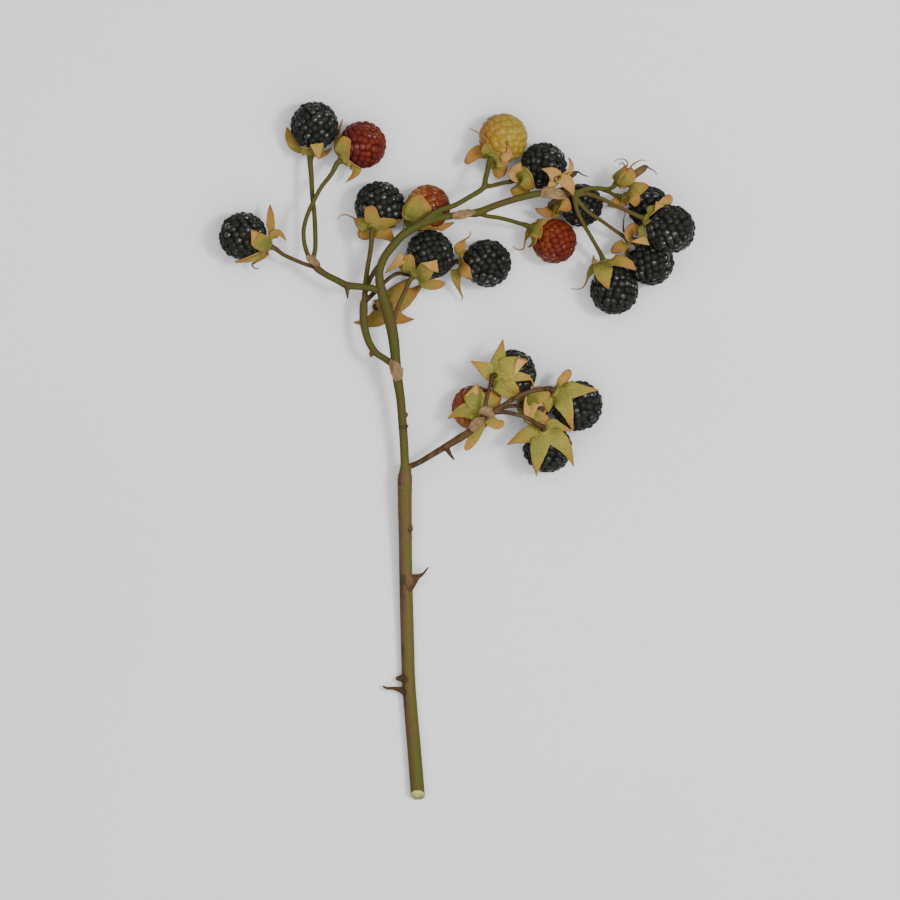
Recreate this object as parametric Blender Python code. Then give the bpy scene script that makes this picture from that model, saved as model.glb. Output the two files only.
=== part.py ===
"""Bramble sprig: a cut cane that lies down, with its sprays, bracts, calyces and berries.

The plan is a grid of 0.36 mm steps, counted east and south, that the sprig was measured on
from straight above. Heights, radii and widths are real sizes in millimetres, with the surface
that the sprig lies on at height 0. The part's origin is the bottom centre of its box.
"""

import math
import random
from collections import namedtuple

import bmesh
import bpy
from mathutils import Vector

# Driving dimensions, in millimetres
MM = 0.001
PLAN_STEP = 0.36
PLAN_CENTRE = (457.13, 450.85)
BLADE_THICKNESS = 0.6
GAP = 0.35
REST_FLAT = 0.35
HUB_STAND_OFF = 1.0
HUB_SPREAD = 1.2
HUB_RADIUS = 2.3
NOTCH_RADIUS = 2.0
PEDICEL_LEAD = 2.5
PEDICEL_TOP_RADIUS = 0.95

# Relief of the berries
DRUPELETS = 56
VALLEY_DEPTH = 0.13
DRUPELET_JITTER = 0.05

# Stems
CANE_SIDES = 8
STEM_SIDES = 6
PRICKLE_SIDES = 5

Berry = namedtuple("Berry", "centre radius hub colour height hub_lift")


def berry(centre, radius, hub, colour, height=None, hub_lift=None):
    """Gives a berry that rests on the surface unless it has a height of its own."""
    resting = radius - REST_FLAT
    return Berry(centre, radius, hub, colour, resting if height is None else height, hub_lift)


# Berries by number: plan centre, radius, plan place of the calyx, colour
BERRIES = {
    1: berry((315, 127), 8.6, (310, 155), "black"),
    2: berry((363, 146), 8.4, (343, 161), "red"),
    3: berry((244, 237), 8.6, (270, 247), "black"),
    4: berry((380, 207), 9.0, (374, 229), "black"),
    5: berry((428, 208), 7.9, (417, 225), "turning"),
    6: berry((430, 255), 8.6, (414, 276), "black"),
    7: berry((487, 264), 8.6, (458, 262), "black", hub_lift=-3.0),
    9: berry((503, 139), 8.6, (492, 159), "yellow"),
    10: berry((543, 167), 8.4, (516, 180), "black"),
    11: berry((581, 206), 7.7, (557, 207), "black"),
    12: berry((555, 242), 8.1, (531, 229), "red"),
    13: berry((648, 208), 7.5, (621, 198), "black"),
    14: berry((670, 231), 9.0, (645, 222), "black", height=20.0, hub_lift=0.0),
    15: berry((650, 262), 8.2, (625, 239), "black"),
    16: berry((612.5, 291.5), 8.6, (601, 257), "black"),
    19: berry((512, 374), 8.6, (496, 376), "black", height=11.0),
    20: berry((474, 408), 7.9, (483, 413), "turning"),
    21: berry((577, 406), 9.0, (553, 391), "black", height=10.4, hub_lift=3.5),
    22: berry((547, 448), 8.8, (543, 431), "black"),
    23: berry((538, 402), 5.5, (534, 404), "black"),
}

# Calyces that hold no berry: plan place and height of the hub, direction of the stem
BARE_HUBS = {
    8: ((388, 307, 3.5), (0.0, 0.0, 1.0)),
    17: ((616, 184, 13.0), (-0.64, -0.76, -0.1)),
    18: ((557, 181, 21.4), (0.0, 0.0, -1.0)),
}

# Sepal tips of each calyx: plan place, height, width of the sepal
SEPALS = {
    1: [(285, 139, 5.0, 4.0), (305, 143, 14.8, 4.4), (323, 148, 12.8, 4.0),
        (337, 148, 5.0, 3.6), (314, 146, 1.6, 3.6)],
    2: [(348, 140, 15.0, 5.0), (345, 183, 6.0, 4.3), (366, 170, 8.0, 4.0),
        (343, 120, 4.0, 2.5), (353, 152, 1.6, 3.6)],
    3: [(253, 238, 17.0, 5.2), (271, 205, 7.0, 2.6), (286, 241, 10.0, 3.0),
        (237, 264, 4.0, 3.2), (258, 268, 6.0, 3.0)],
    4: [(368, 206, 17.3, 4.7), (401, 226, 11.0, 4.0), (338, 221, 8.0, 2.6),
        (358, 238, 11.0, 4.4), (392, 243, 9.5, 4.4)],
    5: [(412, 199, 13.2, 4.4), (404, 205, 8.0, 3.0), (454, 223, 6.0, 4.0),
        (424, 226, 1.6, 3.0), (404, 222, 6.0, 3.0)],
    6: [(408, 254, 12.5, 5.0), (387, 272, 8.0, 4.0), (434, 264, 17.0, 5.0),
        (444, 281, 8.0, 4.2), (424, 272, 1.4, 3.4)],
    7: [(465, 240, 11.0, 4.0), (473, 280, 13.4, 4.6), (461, 300, 2.5, 2.6),
        (468, 250, 2.0, 3.4), (470, 270, 1.2, 3.0)],
    8: [(400, 280, 1.2, 4.6), (420, 284, 0.8, 4.6), (414, 318, 0.8, 4.2),
        (354, 322, 0.8, 4.2), (366, 297, 1.2, 4.2)],
    9: [(466, 166, 8.0, 3.0), (496, 178, 9.0, 3.6), (469, 130, 6.0, 2.6),
        (508, 148, 16.8, 4.6), (515, 165, 6.0, 3.8)],
    10: [(519, 164, 12.0, 4.2), (532, 193, 9.0, 4.2), (512, 195, 5.5, 3.6),
         (510, 168, 5.0, 3.4), (527, 182, 1.3, 3.4)],
    11: [(537, 202, 9.5, 4.2), (569, 213, 14.1, 4.4), (546, 221, 4.5, 3.0),
         (560, 190, 7.0, 3.4), (566, 207, 1.3, 3.2)],
    12: [(540, 236, 14.4, 4.8), (528, 252, 6.0, 3.6), (512, 245, 5.0, 2.4),
         (551, 218, 10.6, 3.0), (545, 240, 1.3, 3.2)],
    13: [(648, 185, 8.0, 3.2), (631, 219, 11.5, 3.6), (605, 203, 5.0, 3.4),
         (632, 197, 12.0, 4.0), (634, 206, 1.2, 3.0)],
    14: [(661, 208, 19.5, 4.4), (652, 241, 19.0, 4.4), (648, 217, 25.5, 4.0),
         (632, 240, 16.5, 3.4), (655, 226, 12.0, 3.0)],
    15: [(640, 237, 12.5, 4.0), (610, 250, 6.5, 4.0), (622, 215, 9.0, 2.6),
         (631, 262, 3.0, 3.2), (637, 250, 1.3, 3.0)],
    16: [(606, 289, 17.2, 6.0), (634, 266, 15.4, 3.0), (594, 258, 9.0, 3.0),
         (572, 288, 4.0, 2.6), (606, 277, 1.2, 3.4)],
    17: [(613, 165, 14.0, 2.8), (629, 160, 17.0, 3.0), (645, 166, 14.5, 2.8),
         (652, 173, 13.5, 2.6), (640, 188, 10.6, 3.0)],
    18: [(540, 172, 21.2, 3.6), (568, 160, 21.0, 3.0), (577, 173, 20.8, 3.0),
         (573, 198, 21.4, 4.2), (546, 188, 21.6, 3.0)],
    19: [(503, 340, 14.0, 4.2), (470, 362, 17.0, 4.2), (523, 368, 19.6, 6.0),
         (534, 388, 13.0, 3.0), (508, 398, 15.0, 6.0)],
    20: [(447, 418, 9.0, 4.2), (476, 388, 12.4, 5.0), (466, 450, 7.0, 3.0),
         (502, 422, 12.0, 3.0), (496, 392, 12.0, 3.6)],
    21: [(597, 390, 14.0, 4.8), (568, 369, 11.0, 3.2), (571, 431, 15.0, 3.6),
         (546, 411, 15.6, 4.2), (562, 383, 4.5, 3.4)],
    22: [(507, 444, 11.0, 4.2), (536, 476, 11.0, 4.8), (572, 466, 11.0, 4.2),
         (566, 436, 14.5, 4.4), (533, 422, 15.5, 3.0)],
    23: [(522, 398, 10.5, 3.4), (528, 415, 10.5, 3.4), (546, 414, 10.0, 3.4),
         (548, 400, 9.5, 3.4), (536, 392, 10.5, 3.4)],
}

# Routes of the stems: plan place, height and radius of each station
FLAT_CANE = [(418, 797, 2.5), (416, 770, 2.4), (414, 740, 2.35), (411, 705, 2.3), (409, 675, 2.3)]
RISING_CANE = [
    (407, 620, 3.0, 2.3), (406, 580, 4.0, 2.25), (406, 540, 5.2, 2.25), (405, 505, 6.6, 2.3),
    (405, 478, 7.8, 2.4), (405, 462, 8.6, 1.65), (404, 440, 9.5, 1.6), (402.5, 420, 10.4, 1.6),
    (401, 400, 11.3, 1.65), (398, 380, 12.3, 1.75), (396, 360, 13.1, 1.6), (394.5, 340, 14.0, 1.65),
    (391, 322, 14.8, 1.8), (386, 305, 15.6, 1.75), (382, 292, 16.2, 1.65), (380, 280, 16.7, 1.45),
    (381, 270, 17.1, 1.35), (386, 258, 17.4, 1.4), (393, 248, 17.7, 1.45), (402, 238, 18.0, 1.45),
    (412, 231, 18.2, 1.45), (421, 226, 18.4, 1.4),
]
ARCH = [
    (430, 223, 18.5, 1.3), (440, 220, 18.7, 1.2), (452, 218, 18.8, 1.15), (466, 216, 18.8, 1.2),
    (477, 215, 18.8, 1.45), (487, 211, 18.9, 1.2), (500, 206, 19.0, 1.15), (520, 200, 19.0, 1.15),
    (540, 195.5, 18.8, 1.15), (556, 194, 18.5, 1.25), (563, 193, 18.3, 1.3),
]
UPPER_BRANCH = [
    (421, 226, 18.4, 1.0), (430, 218, 18.9, 0.95), (440, 212.5, 19.2, 0.9), (455, 207.5, 19.2, 0.85),
    (470, 199, 18.8, 0.85), (480, 193, 18.2, 0.9), (484, 189, 17.8, 0.95),
]
LEFT_LATERAL = [
    (372, 289.5, 15.9, 1.2), (363, 288, 15.5, 1.1), (348, 286.6, 14.8, 1.15), (339, 282, 14.2, 1.0),
    (327, 276, 13.4, 1.0), (318, 269.5, 12.7, 1.1), (313, 263, 12.3, 1.15),
]
SECOND_LATERAL = [
    (390, 362.5, 13.1, 1.2), (384, 358.5, 12.7, 1.1), (376, 353, 12.2, 1.1), (369, 342, 11.5, 1.1),
    (364, 325, 10.8, 1.1), (363, 309, 10.2, 1.15), (364.5, 301, 10.0, 1.1),
]
LOWER_LATERAL = [
    (411, 466, 8.8, 1.0), (420, 462, 9.8, 0.95), (430, 456, 11.0, 1.0), (440, 450, 12.5, 1.1),
    (450, 444, 14.3, 1.2), (460, 438, 16.2, 1.35), (468, 433, 17.6, 1.2), (475, 427, 18.8, 1.1),
    (483, 419, 20.0, 1.2), (491, 413, 20.5, 1.1),
]
RIGHT_KNOT = [(566, 193.5, 18.1, 1.1), (571, 195, 17.9, 1.15), (575, 197, 17.6, 1.0)]

# Routes of the pedicels, each from its stem to near the hub of the calyx with its number
PEDICELS = {
    1: [(313, 263, 12.3, 0.8), (316, 250, 12.0, 0.7), (316, 232, 11.4, 0.7), (315, 214, 10.8, 0.7),
        (313, 197, 10.2, 0.7), (312, 178, 9.4, 0.75)],
    2: [(313, 263, 12.3, 0.8), (308, 254, 13.4, 0.7), (305, 242, 13.9, 0.65), (305, 229, 14.0, 0.65),
        (309, 215, 13.9, 0.65), (315, 202, 13.6, 0.65), (322, 189, 13.0, 0.65), (332, 176, 12.2, 0.7)],
    3: [(316, 268, 12.5, 0.7), (308, 266, 11.8, 0.6), (297, 261.5, 10.8, 0.6), (284, 255.5, 9.4, 0.6)],
    4: [(364.5, 303, 10.0, 0.8), (365.5, 290, 10.0, 0.8), (367, 275, 10.8, 0.75),
        (370, 258, 12.8, 0.7), (372, 245, 14.8, 0.75)],
    5: [(364.5, 303, 10.0, 0.8), (367, 288, 9.4, 0.75), (375, 272, 9.8, 0.7), (385, 260, 10.8, 0.65),
        (395, 248, 12.2, 0.65), (404, 238, 13.4, 0.65)],
    6: [(393, 326, 14.6, 0.8), (396, 315, 14.2, 0.65), (400, 304, 13.4, 0.65), (405, 293, 12.2, 0.65)],
    7: [(364.5, 303, 10.0, 0.8), (370, 298, 9.4, 0.7), (378, 290, 8.6, 0.65), (388, 280, 7.6, 0.6),
        (398, 274, 6.4, 0.6), (408, 280, 4.6, 0.6), (420, 286, 3.4, 0.6), (434, 285, 3.0, 0.6),
        (444, 278, 3.0, 0.6), (450, 270, 3.4, 0.6)],
    8: [(387, 307, 15.4, 0.8), (388, 308, 10.5, 0.7)],
    9: [(484, 189, 17.8, 0.9), (485, 182, 17.2, 0.8), (487, 174, 16.2, 0.8)],
    10: [(484, 189, 17.8, 0.8), (491, 188, 16.6, 0.65), (498, 186, 14.2, 0.65), (505, 184, 11.4, 0.65)],
    11: [(570, 195, 17.9, 0.8), (559, 200, 16.0, 0.65), (550, 205, 13.0, 0.65)],
    12: [(477, 215, 18.8, 0.8), (486, 218, 17.6, 0.65), (498, 219.5, 15.4, 0.65),
         (510, 222, 12.6, 0.65), (519, 224.5, 10.0, 0.65)],
    13: [(598, 190.5, 16.6, 0.75), (607, 193, 13.6, 0.7), (614, 195.5, 10.4, 0.7)],
    14: [(575, 197, 17.6, 0.8), (587, 196.5, 17.6, 0.75), (600, 201, 18.6, 0.7), (614, 208, 19.6, 0.7),
         (628, 214.5, 20.2, 0.75)],
    15: [(573, 198, 17.6, 0.8), (585, 211, 16.6, 0.7), (599, 221, 14.4, 0.65), (611, 229.5, 11.4, 0.65)],
    16: [(573, 198, 17.6, 0.8), (580, 218, 15.6, 0.7), (588, 233, 13.2, 0.65), (595, 245, 10.8, 0.65)],
    17: [(575, 195, 17.7, 0.8), (586, 189.5, 17.2, 0.8), (598, 190.5, 16.6, 0.75), (606, 189, 14.8, 0.7)],
    18: [(571, 195, 17.9, 0.7), (563, 188, 18.4, 0.6)],
    19: [(487, 416, 20.3, 0.8), (484.5, 406, 20.8, 0.7), (486, 396, 21.4, 0.65), (488, 385, 21.6, 0.65)],
    20: [(488, 415.5, 20.3, 0.75)],
    21: [(491, 413, 20.5, 0.85), (500, 407.5, 20.8, 0.75), (512, 399.5, 20.4, 0.7),
         (526, 392, 19.2, 0.7), (540, 388, 17.0, 0.75)],
    22: [(491, 413, 20.5, 0.85), (503, 411, 20.8, 0.7), (515, 411.5, 20.6, 0.65),
         (528, 416, 20.0, 0.65), (537, 422, 19.0, 0.65)],
    23: [(491, 413, 20.5, 0.7), (506, 408.5, 18.4, 0.6), (520, 406, 16.4, 0.6)],
}

# Prickles: root, bend and tip, each with its radius
PRICKLES = {
    "cane": [
        [(411, 582, 4.0, 1.2), (418, 577, 4.2, 0.8), (424, 572.5, 4.4, 0.45), (429, 567, 4.6, 0.2)],
        [(406, 682, 2.6, 1.1), (399, 681, 2.6, 0.6), (393, 679, 2.6, 0.2)],
        [(406, 690, 2.2, 1.1), (396, 688, 2.1, 0.6), (388, 687, 2.0, 0.4), (382, 686, 2.0, 0.2)],
        [(402, 427, 10.2, 0.8), (409, 426, 10.2, 0.2)],
        [(405, 530, 5.4, 1.0), (413.5, 529, 5.4, 0.25)],
    ],
    "spray_left": [[(348, 286.6, 14.8, 1.1), (348, 293, 14.7, 0.6), (348.5, 300, 14.5, 0.2)]],
    "spray_second": [[(376, 352, 12.2, 1.0), (373, 355, 12.0, 0.5), (370.5, 358, 11.8, 0.2)]],
    "spray_lower": [[(446, 447, 13.4, 1.1), (450, 454, 13.2, 0.6), (454.5, 460, 13.0, 0.2)]],
}

# Stems of each node, and the pedicels that grow on them
STEM_NODES = {
    "cane": ([], [6, 8, 9, 10, 12]),
    "spray_left": ([LEFT_LATERAL], [1, 2, 3]),
    "spray_second": ([SECOND_LATERAL], [4, 5, 7]),
    "spray_right": ([RIGHT_KNOT], [11, 13, 14, 15, 16, 17, 18]),
    "spray_lower": ([LOWER_LATERAL], [19, 20, 21, 22, 23]),
}

# Bracts: foot, middle and tip with heights, and the width
BRACTS = {
    "bract_cane": ([(399, 381, 15.0), (396.5, 370, 15.5), (391, 360, 15.4)], 4.6),
    "bract_left": ([(308, 257, 14.8), (314, 262, 14.6), (321, 267, 14.4)], 3.0),
    "bract_arch": ([(452, 219, 20.6), (464, 216.5, 20.8), (476, 214, 20.9)], 3.2),
    "bract_right": ([(540, 196, 20.5), (550, 196, 20.6), (561, 198, 20.4)], 4.2),
    "bract_lower": ([(470, 430, 20.6), (477, 424, 21.6), (484, 418, 22.4)], 3.8),
    "bract_tip": ([(479, 411, 22.6), (487, 411.5, 22.8), (494, 417, 22.8)], 3.6),
}

COLOURS = {
    "black": (0.018, 0.016, 0.018),
    "red": (0.19, 0.02, 0.012),
    "turning": (0.24, 0.07, 0.02),
    "yellow": (0.38, 0.28, 0.06),
    "stem": (0.12, 0.11, 0.035),
    "sepal": (0.3, 0.25, 0.06),
    "bract": (0.36, 0.25, 0.16),
}
ROUGHNESS = {"black": 0.25, "red": 0.3, "turning": 0.3, "yellow": 0.35}
MATT = 0.65


# Plan and vectors
def at(east, south, height):
    """Gives a point in millimetres from its plan place and its height."""
    return Vector(((east - PLAN_CENTRE[0]) * PLAN_STEP, (PLAN_CENTRE[1] - south) * PLAN_STEP, height))


def berry_centre(number):
    """Gives the centre of a berry."""
    fruit = BERRIES[number]
    return at(*fruit.centre, fruit.height)


def hub_of(number):
    """Gives the hub of a calyx and the direction from it towards its stem."""
    if number in BARE_HUBS:
        place, stemward = BARE_HUBS[number]
        return at(*place), Vector(stemward).normalized()
    fruit = BERRIES[number]
    centre = berry_centre(number)
    level = at(*fruit.hub, fruit.height) - centre
    reach = fruit.radius + HUB_STAND_OFF
    lift = fruit.hub_lift
    if lift is None:
        lift = math.sqrt(max(0.0, reach ** 2 - level.length ** 2))
    spread = math.sqrt(reach ** 2 - lift ** 2)
    if lift == 0.0:
        spread = max(spread, min(level.length, reach + HUB_SPREAD))
    hub = centre + level.normalized() * spread + Vector((0.0, 0.0, lift))
    return hub, (hub - centre).normalized()


# Meshes and objects
def material(colour):
    """Gives the material of a colour, made once."""
    existing = bpy.data.materials.get(colour)
    if existing:
        return existing
    made = bpy.data.materials.new(colour)
    made.use_nodes = True
    shader = made.node_tree.nodes["Principled BSDF"]
    shader.inputs["Base Color"].default_value = (*COLOURS[colour], 1.0)
    shader.inputs["Roughness"].default_value = ROUGHNESS.get(colour, MATT)
    return made


def add_object(name, mesh, colour):
    """Links a mesh in metres as an object of one colour."""
    obj = bpy.data.objects.new(name, mesh)
    mesh.materials.append(material(colour))
    bpy.context.scene.collection.objects.link(obj)
    return obj


def object_from(name, points, faces, colour):
    """Makes an object from points in millimetres."""
    mesh = bpy.data.meshes.new(name)
    mesh.from_pydata([point * MM for point in points], [], faces)
    mesh.update()
    return add_object(name, mesh, colour)


# Stems
def turn_frame(side, tangent):
    """Carries a side vector along to a new tangent without twist."""
    return (side - tangent * side.dot(tangent)).normalized()


def tube(name, stations, sides):
    """Makes a closed tube through stations of a centre and a radius."""
    centres = [centre for centre, _ in stations]
    last = len(centres) - 1
    first_run = (centres[1] - centres[0]).normalized()
    upright = abs(first_run.z) > 0.9
    side = first_run.cross(Vector((0.0, 1.0, 0.0) if upright else (0.0, 0.0, 1.0)))
    points = []
    for index, (centre, radius) in enumerate(stations):
        tangent = (centres[min(index + 1, last)] - centres[max(index - 1, 0)]).normalized()
        side = turn_frame(side, tangent)
        up = tangent.cross(side)
        for corner in range(sides):
            angle = math.tau * (corner + 0.5) / sides
            points.append(centre + (side * math.cos(angle) + up * math.sin(angle)) * radius)
    faces = []
    for ring in range(last):
        for corner in range(sides):
            near = ring * sides + corner
            beside = ring * sides + (corner + 1) % sides
            faces.append((near, beside, beside + sides, near + sides))
    faces.append(tuple(reversed(range(sides))))
    faces.append(tuple(range(last * sides, (last + 1) * sides)))
    return object_from(name, points, faces, "stem")


def stations_of(route):
    """Turns a route of plan places, heights and radii into stations."""
    return [(at(east, south, height), radius) for east, south, height, radius in route]


def cane_stations():
    """Gives the cane, whose first stretch lies with one flat side on the surface."""
    flat_share = math.cos(math.pi / CANE_SIDES)
    lying = [(at(east, south, radius * flat_share), radius) for east, south, radius in FLAT_CANE]
    return lying + stations_of(RISING_CANE + ARCH)


def pedicel_stations(number):
    """Gives a pedicel, which comes to its hub along the hub's own direction."""
    hub, stemward = hub_of(number)
    clear = BLADE_THICKNESS / 2 + GAP
    lead = (hub + stemward * PEDICEL_LEAD, PEDICELS[number][-1][3])
    end = (hub + stemward * clear, PEDICEL_TOP_RADIUS)
    return stations_of(PEDICELS[number]) + [lead, end]


def fuse(base, parts):
    """Joins parts to a base with one Boolean union and removes them."""
    group = bpy.data.collections.new(base.name + "_parts")
    for part in parts:
        bpy.context.scene.collection.objects.unlink(part)
        group.objects.link(part)
    union = base.modifiers.new("union", "BOOLEAN")
    union.operation = "UNION"
    union.operand_type = "COLLECTION"
    union.collection = group
    union.solver = "MANIFOLD"
    graph = bpy.context.evaluated_depsgraph_get()
    joined = bpy.data.meshes.new_from_object(base.evaluated_get(graph))
    base.modifiers.clear()
    base.data = joined
    for part in parts:
        bpy.data.objects.remove(part, do_unlink=True)
    bpy.data.collections.remove(group)


def make_stems(name):
    """Makes the stems of one node and joins them."""
    routes, pedicels = STEM_NODES[name]
    tubes = [stations_of(route) for route in routes]
    tubes += [pedicel_stations(number) for number in pedicels]
    if name == "cane":
        tubes.insert(0, cane_stations())
        tubes.insert(1, stations_of(UPPER_BRANCH))
    prickles = [stations_of(route) for route in PRICKLES.get(name, [])]
    base = tube(name, tubes[0], CANE_SIDES if name == "cane" else STEM_SIDES)
    parts = [tube("stem", stations, STEM_SIDES) for stations in tubes[1:]]
    parts += [tube("prickle", stations, PRICKLE_SIDES) for stations in prickles]
    fuse(base, parts)


# Berries
def drupelet_places(number):
    """Gives even directions on a sphere by the golden spiral, a little out of true."""
    draw = random.Random(number)
    golden_turn = math.pi * (3.0 - math.sqrt(5.0))
    start = draw.uniform(0.0, math.tau)
    for index in range(DRUPELETS):
        height = 1.0 - (2.0 * index + 1.0) / DRUPELETS
        level = math.sqrt(1.0 - height ** 2)
        turn = start + golden_turn * index
        place = Vector((level * math.cos(turn), level * math.sin(turn), height))
        jitter = Vector([draw.uniform(-DRUPELET_JITTER, DRUPELET_JITTER) for _ in range(3)])
        yield (place + jitter).normalized()


def make_berry(number):
    """Makes a berry as one body of drupelets, each a low dome in a ring of valleys."""
    fruit = BERRIES[number]
    centre = berry_centre(number)
    _, stemward = hub_of(number)
    turn = stemward.to_track_quat("Z", "Y").to_matrix()
    shape = bmesh.new()
    for place in drupelet_places(number):
        shape.verts.new(turn @ place)
    bmesh.ops.convex_hull(shape, input=shape.verts)
    ridges = shape.edges[:]
    valleys = bmesh.ops.poke(shape, faces=shape.faces[:])["verts"]
    for valley in valleys:
        valley.co = valley.co.normalized() * (1.0 - VALLEY_DEPTH)
    bmesh.ops.rotate_edges(shape, edges=ridges, use_ccw=False)
    for vertex in shape.verts:
        point = centre + vertex.co * fruit.radius
        point.z = max(point.z, 0.0)
        vertex.co = point * MM
    bmesh.ops.recalc_face_normals(shape, faces=shape.faces)
    mesh = bpy.data.meshes.new(f"berry_{number:02d}")
    shape.to_mesh(mesh)
    shape.free()
    add_object(mesh.name, mesh, fruit.colour)


# Blades
def obstacle_segments():
    """Gives every stretch of every stem as two ends and a radius."""
    runs = [cane_stations(), stations_of(UPPER_BRANCH), stations_of(LEFT_LATERAL)]
    runs += [stations_of(SECOND_LATERAL), stations_of(LOWER_LATERAL), stations_of(RIGHT_KNOT)]
    runs += [pedicel_stations(number) for number in PEDICELS]
    return [(a[0], b[0], max(a[1], b[1])) for run in runs for a, b in zip(run, run[1:])]


def push_from(point, heart, reach):
    """Moves a point straight out until it is at least reach from the heart."""
    away = point - heart
    return heart + away.normalized() * reach if away.length < reach else point


def nearest_on(start, end, point):
    """Gives the nearest point of a stretch."""
    along = end - start
    share = (point - start).dot(along) / along.length_squared
    return start + along * min(1.0, max(0.0, share))


def keep_clear(point, segments):
    """Moves a blade's middle point clear of berries, stems and the surface below."""
    margin = BLADE_THICKNESS / 2 + GAP
    for _ in range(6):
        for number, fruit in BERRIES.items():
            point = push_from(point, berry_centre(number), fruit.radius + margin)
        for start, end, radius in segments:
            point = push_from(point, nearest_on(start, end, point), radius + margin)
        point.z = max(point.z, margin)
    return point


def bezier(root, bend, tip, share):
    """Gives a point on a curve from root to tip that leaves towards bend."""
    rest = 1.0 - share
    return root * rest ** 2 + bend * 2.0 * rest * share + tip * share ** 2


def thicken(obj):
    """Gives a sheet its thickness, half on each face."""
    wall = obj.modifiers.new("thickness", "SOLIDIFY")
    wall.thickness = BLADE_THICKNESS * MM
    wall.offset = 0.0


SEPAL_SHARES = ((0.34, 1.0), (0.68, 0.72))
BEND_SHARE = 0.55


def attach_angles(bearings):
    """Gives five even bearings that fit the sorted bearings of the tips."""
    even = math.tau / len(bearings)
    phase = sum(bearing - even * index for index, bearing in enumerate(bearings)) / len(bearings)
    return [phase + even * index for index in range(len(bearings))]


def make_calyx(number, segments):
    """Makes a calyx as one star: a hub and five sepals that bend to their tips."""
    hub, stemward = hub_of(number)
    across = stemward.orthogonal().normalized()
    beside = stemward.cross(across)

    def bearing(tip):
        return math.atan2((tip - hub).dot(beside), (tip - hub).dot(across))

    def outward(angle):
        return across * math.cos(angle) + beside * math.sin(angle)

    sepals = sorted(((at(*tip[:3]), tip[3]) for tip in SEPALS[number]), key=lambda s: bearing(s[0]))
    angles = attach_angles([bearing(tip) for tip, _ in sepals])
    half_turn = math.pi / len(sepals)
    points = [hub]
    for angle in angles:
        points.append(hub + outward(angle) * HUB_RADIUS)
        points.append(hub + outward(angle + half_turn) * NOTCH_RADIUS)
    faces = []
    ring = 2 * len(sepals)
    for index, ((tip, width), angle) in enumerate(zip(sepals, angles)):
        middle = 1 + 2 * index
        left = 1 + (2 * index + 1) % ring
        right = 1 + (2 * index - 1) % ring
        faces += [(0, right, middle), (0, middle, left)]
        root = points[middle]
        reach = (tip - root).length
        bend = root + outward(angle) * reach * BEND_SHARE
        wing = stemward.cross(outward(angle))
        row = (right, middle, left)
        previous = hub
        for share, fullness in SEPAL_SHARES:
            spine = bezier(root, bend, tip, share)
            tangent = (spine - previous).normalized()
            side = turn_frame(wing, tangent) * width / 2 * fullness
            first = len(points)
            points += [keep_clear(place, segments) for place in (spine - side, spine, spine + side)]
            new_row = (first, first + 1, first + 2)
            for a, b in ((0, 1), (1, 2)):
                faces += [(row[a], new_row[a], row[b]), (row[b], new_row[a], new_row[b])]
            row = new_row
            previous = spine
        end = len(points)
        points.append(keep_clear(tip, segments))
        faces += [(row[0], end, row[1]), (row[1], end, row[2])]
    thicken(object_from(f"calyx_{number:02d}", points, faces, "sepal"))


BRACT_SHARES = ((0.0, 0.55), (0.3, 1.0), (0.7, 0.85))
BRACT_HOLLOW = 0.35


def make_bract(name):
    """Makes a bract as a short blade, arched across, that narrows to its tip."""
    (foot, middle, tip), width = BRACTS[name]
    foot, middle, tip = at(*foot), at(*middle), at(*tip)
    bend = middle * 2.0 - (foot + tip) / 2.0
    along = (tip - foot).normalized()
    wing = along.cross(Vector((0.0, 0.0, 1.0))).normalized()
    points = []
    faces = []
    for share, fullness in BRACT_SHARES:
        spine = bezier(foot, bend, tip, share)
        side = wing * width / 2 * fullness
        drop = Vector((0.0, 0.0, BRACT_HOLLOW))
        points += [spine + side - drop, spine, spine - side - drop]
    for row in range(len(BRACT_SHARES) - 1):
        for column in (0, 1):
            corner = 3 * row + column
            faces += [(corner, corner + 3, corner + 1), (corner + 1, corner + 3, corner + 4)]
    end = len(points)
    points.append(tip)
    faces += [(end - 3, end, end - 2), (end - 2, end, end - 1)]
    thicken(object_from(name, points, faces, "bract"))


def clear_scene():
    """Removes what the scene holds."""
    for obj in list(bpy.data.objects):
        bpy.data.objects.remove(obj, do_unlink=True)


def main():
    """Makes the whole sprig."""
    clear_scene()
    for name in STEM_NODES:
        make_stems(name)
    for number in BERRIES:
        make_berry(number)
    segments = obstacle_segments()
    for number in SEPALS:
        make_calyx(number, segments)
    for name in BRACTS:
        make_bract(name)


main()
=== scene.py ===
"""Looks of a bramble sprig: its cane, sprays, berries, calyces and bracts, on a pale surface."""

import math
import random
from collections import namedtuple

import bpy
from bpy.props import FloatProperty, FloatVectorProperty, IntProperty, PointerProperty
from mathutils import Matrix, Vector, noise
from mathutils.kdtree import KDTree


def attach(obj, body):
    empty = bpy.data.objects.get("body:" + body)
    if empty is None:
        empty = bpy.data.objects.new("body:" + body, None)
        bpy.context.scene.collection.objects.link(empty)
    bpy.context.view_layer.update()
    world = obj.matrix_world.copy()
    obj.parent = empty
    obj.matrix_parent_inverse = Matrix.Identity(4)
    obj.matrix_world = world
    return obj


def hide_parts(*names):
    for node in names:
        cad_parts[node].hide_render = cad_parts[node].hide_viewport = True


bl_info = {
    "name": "Bramble Sprig",
    "version": (1, 0, 0),
    "blender": (4, 5, 0),
    "location": "View3D > Sidebar > Bramble",
    "description": "Models and finishes a cut bramble sprig round its construction model",
    "category": "Object",
}

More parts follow.
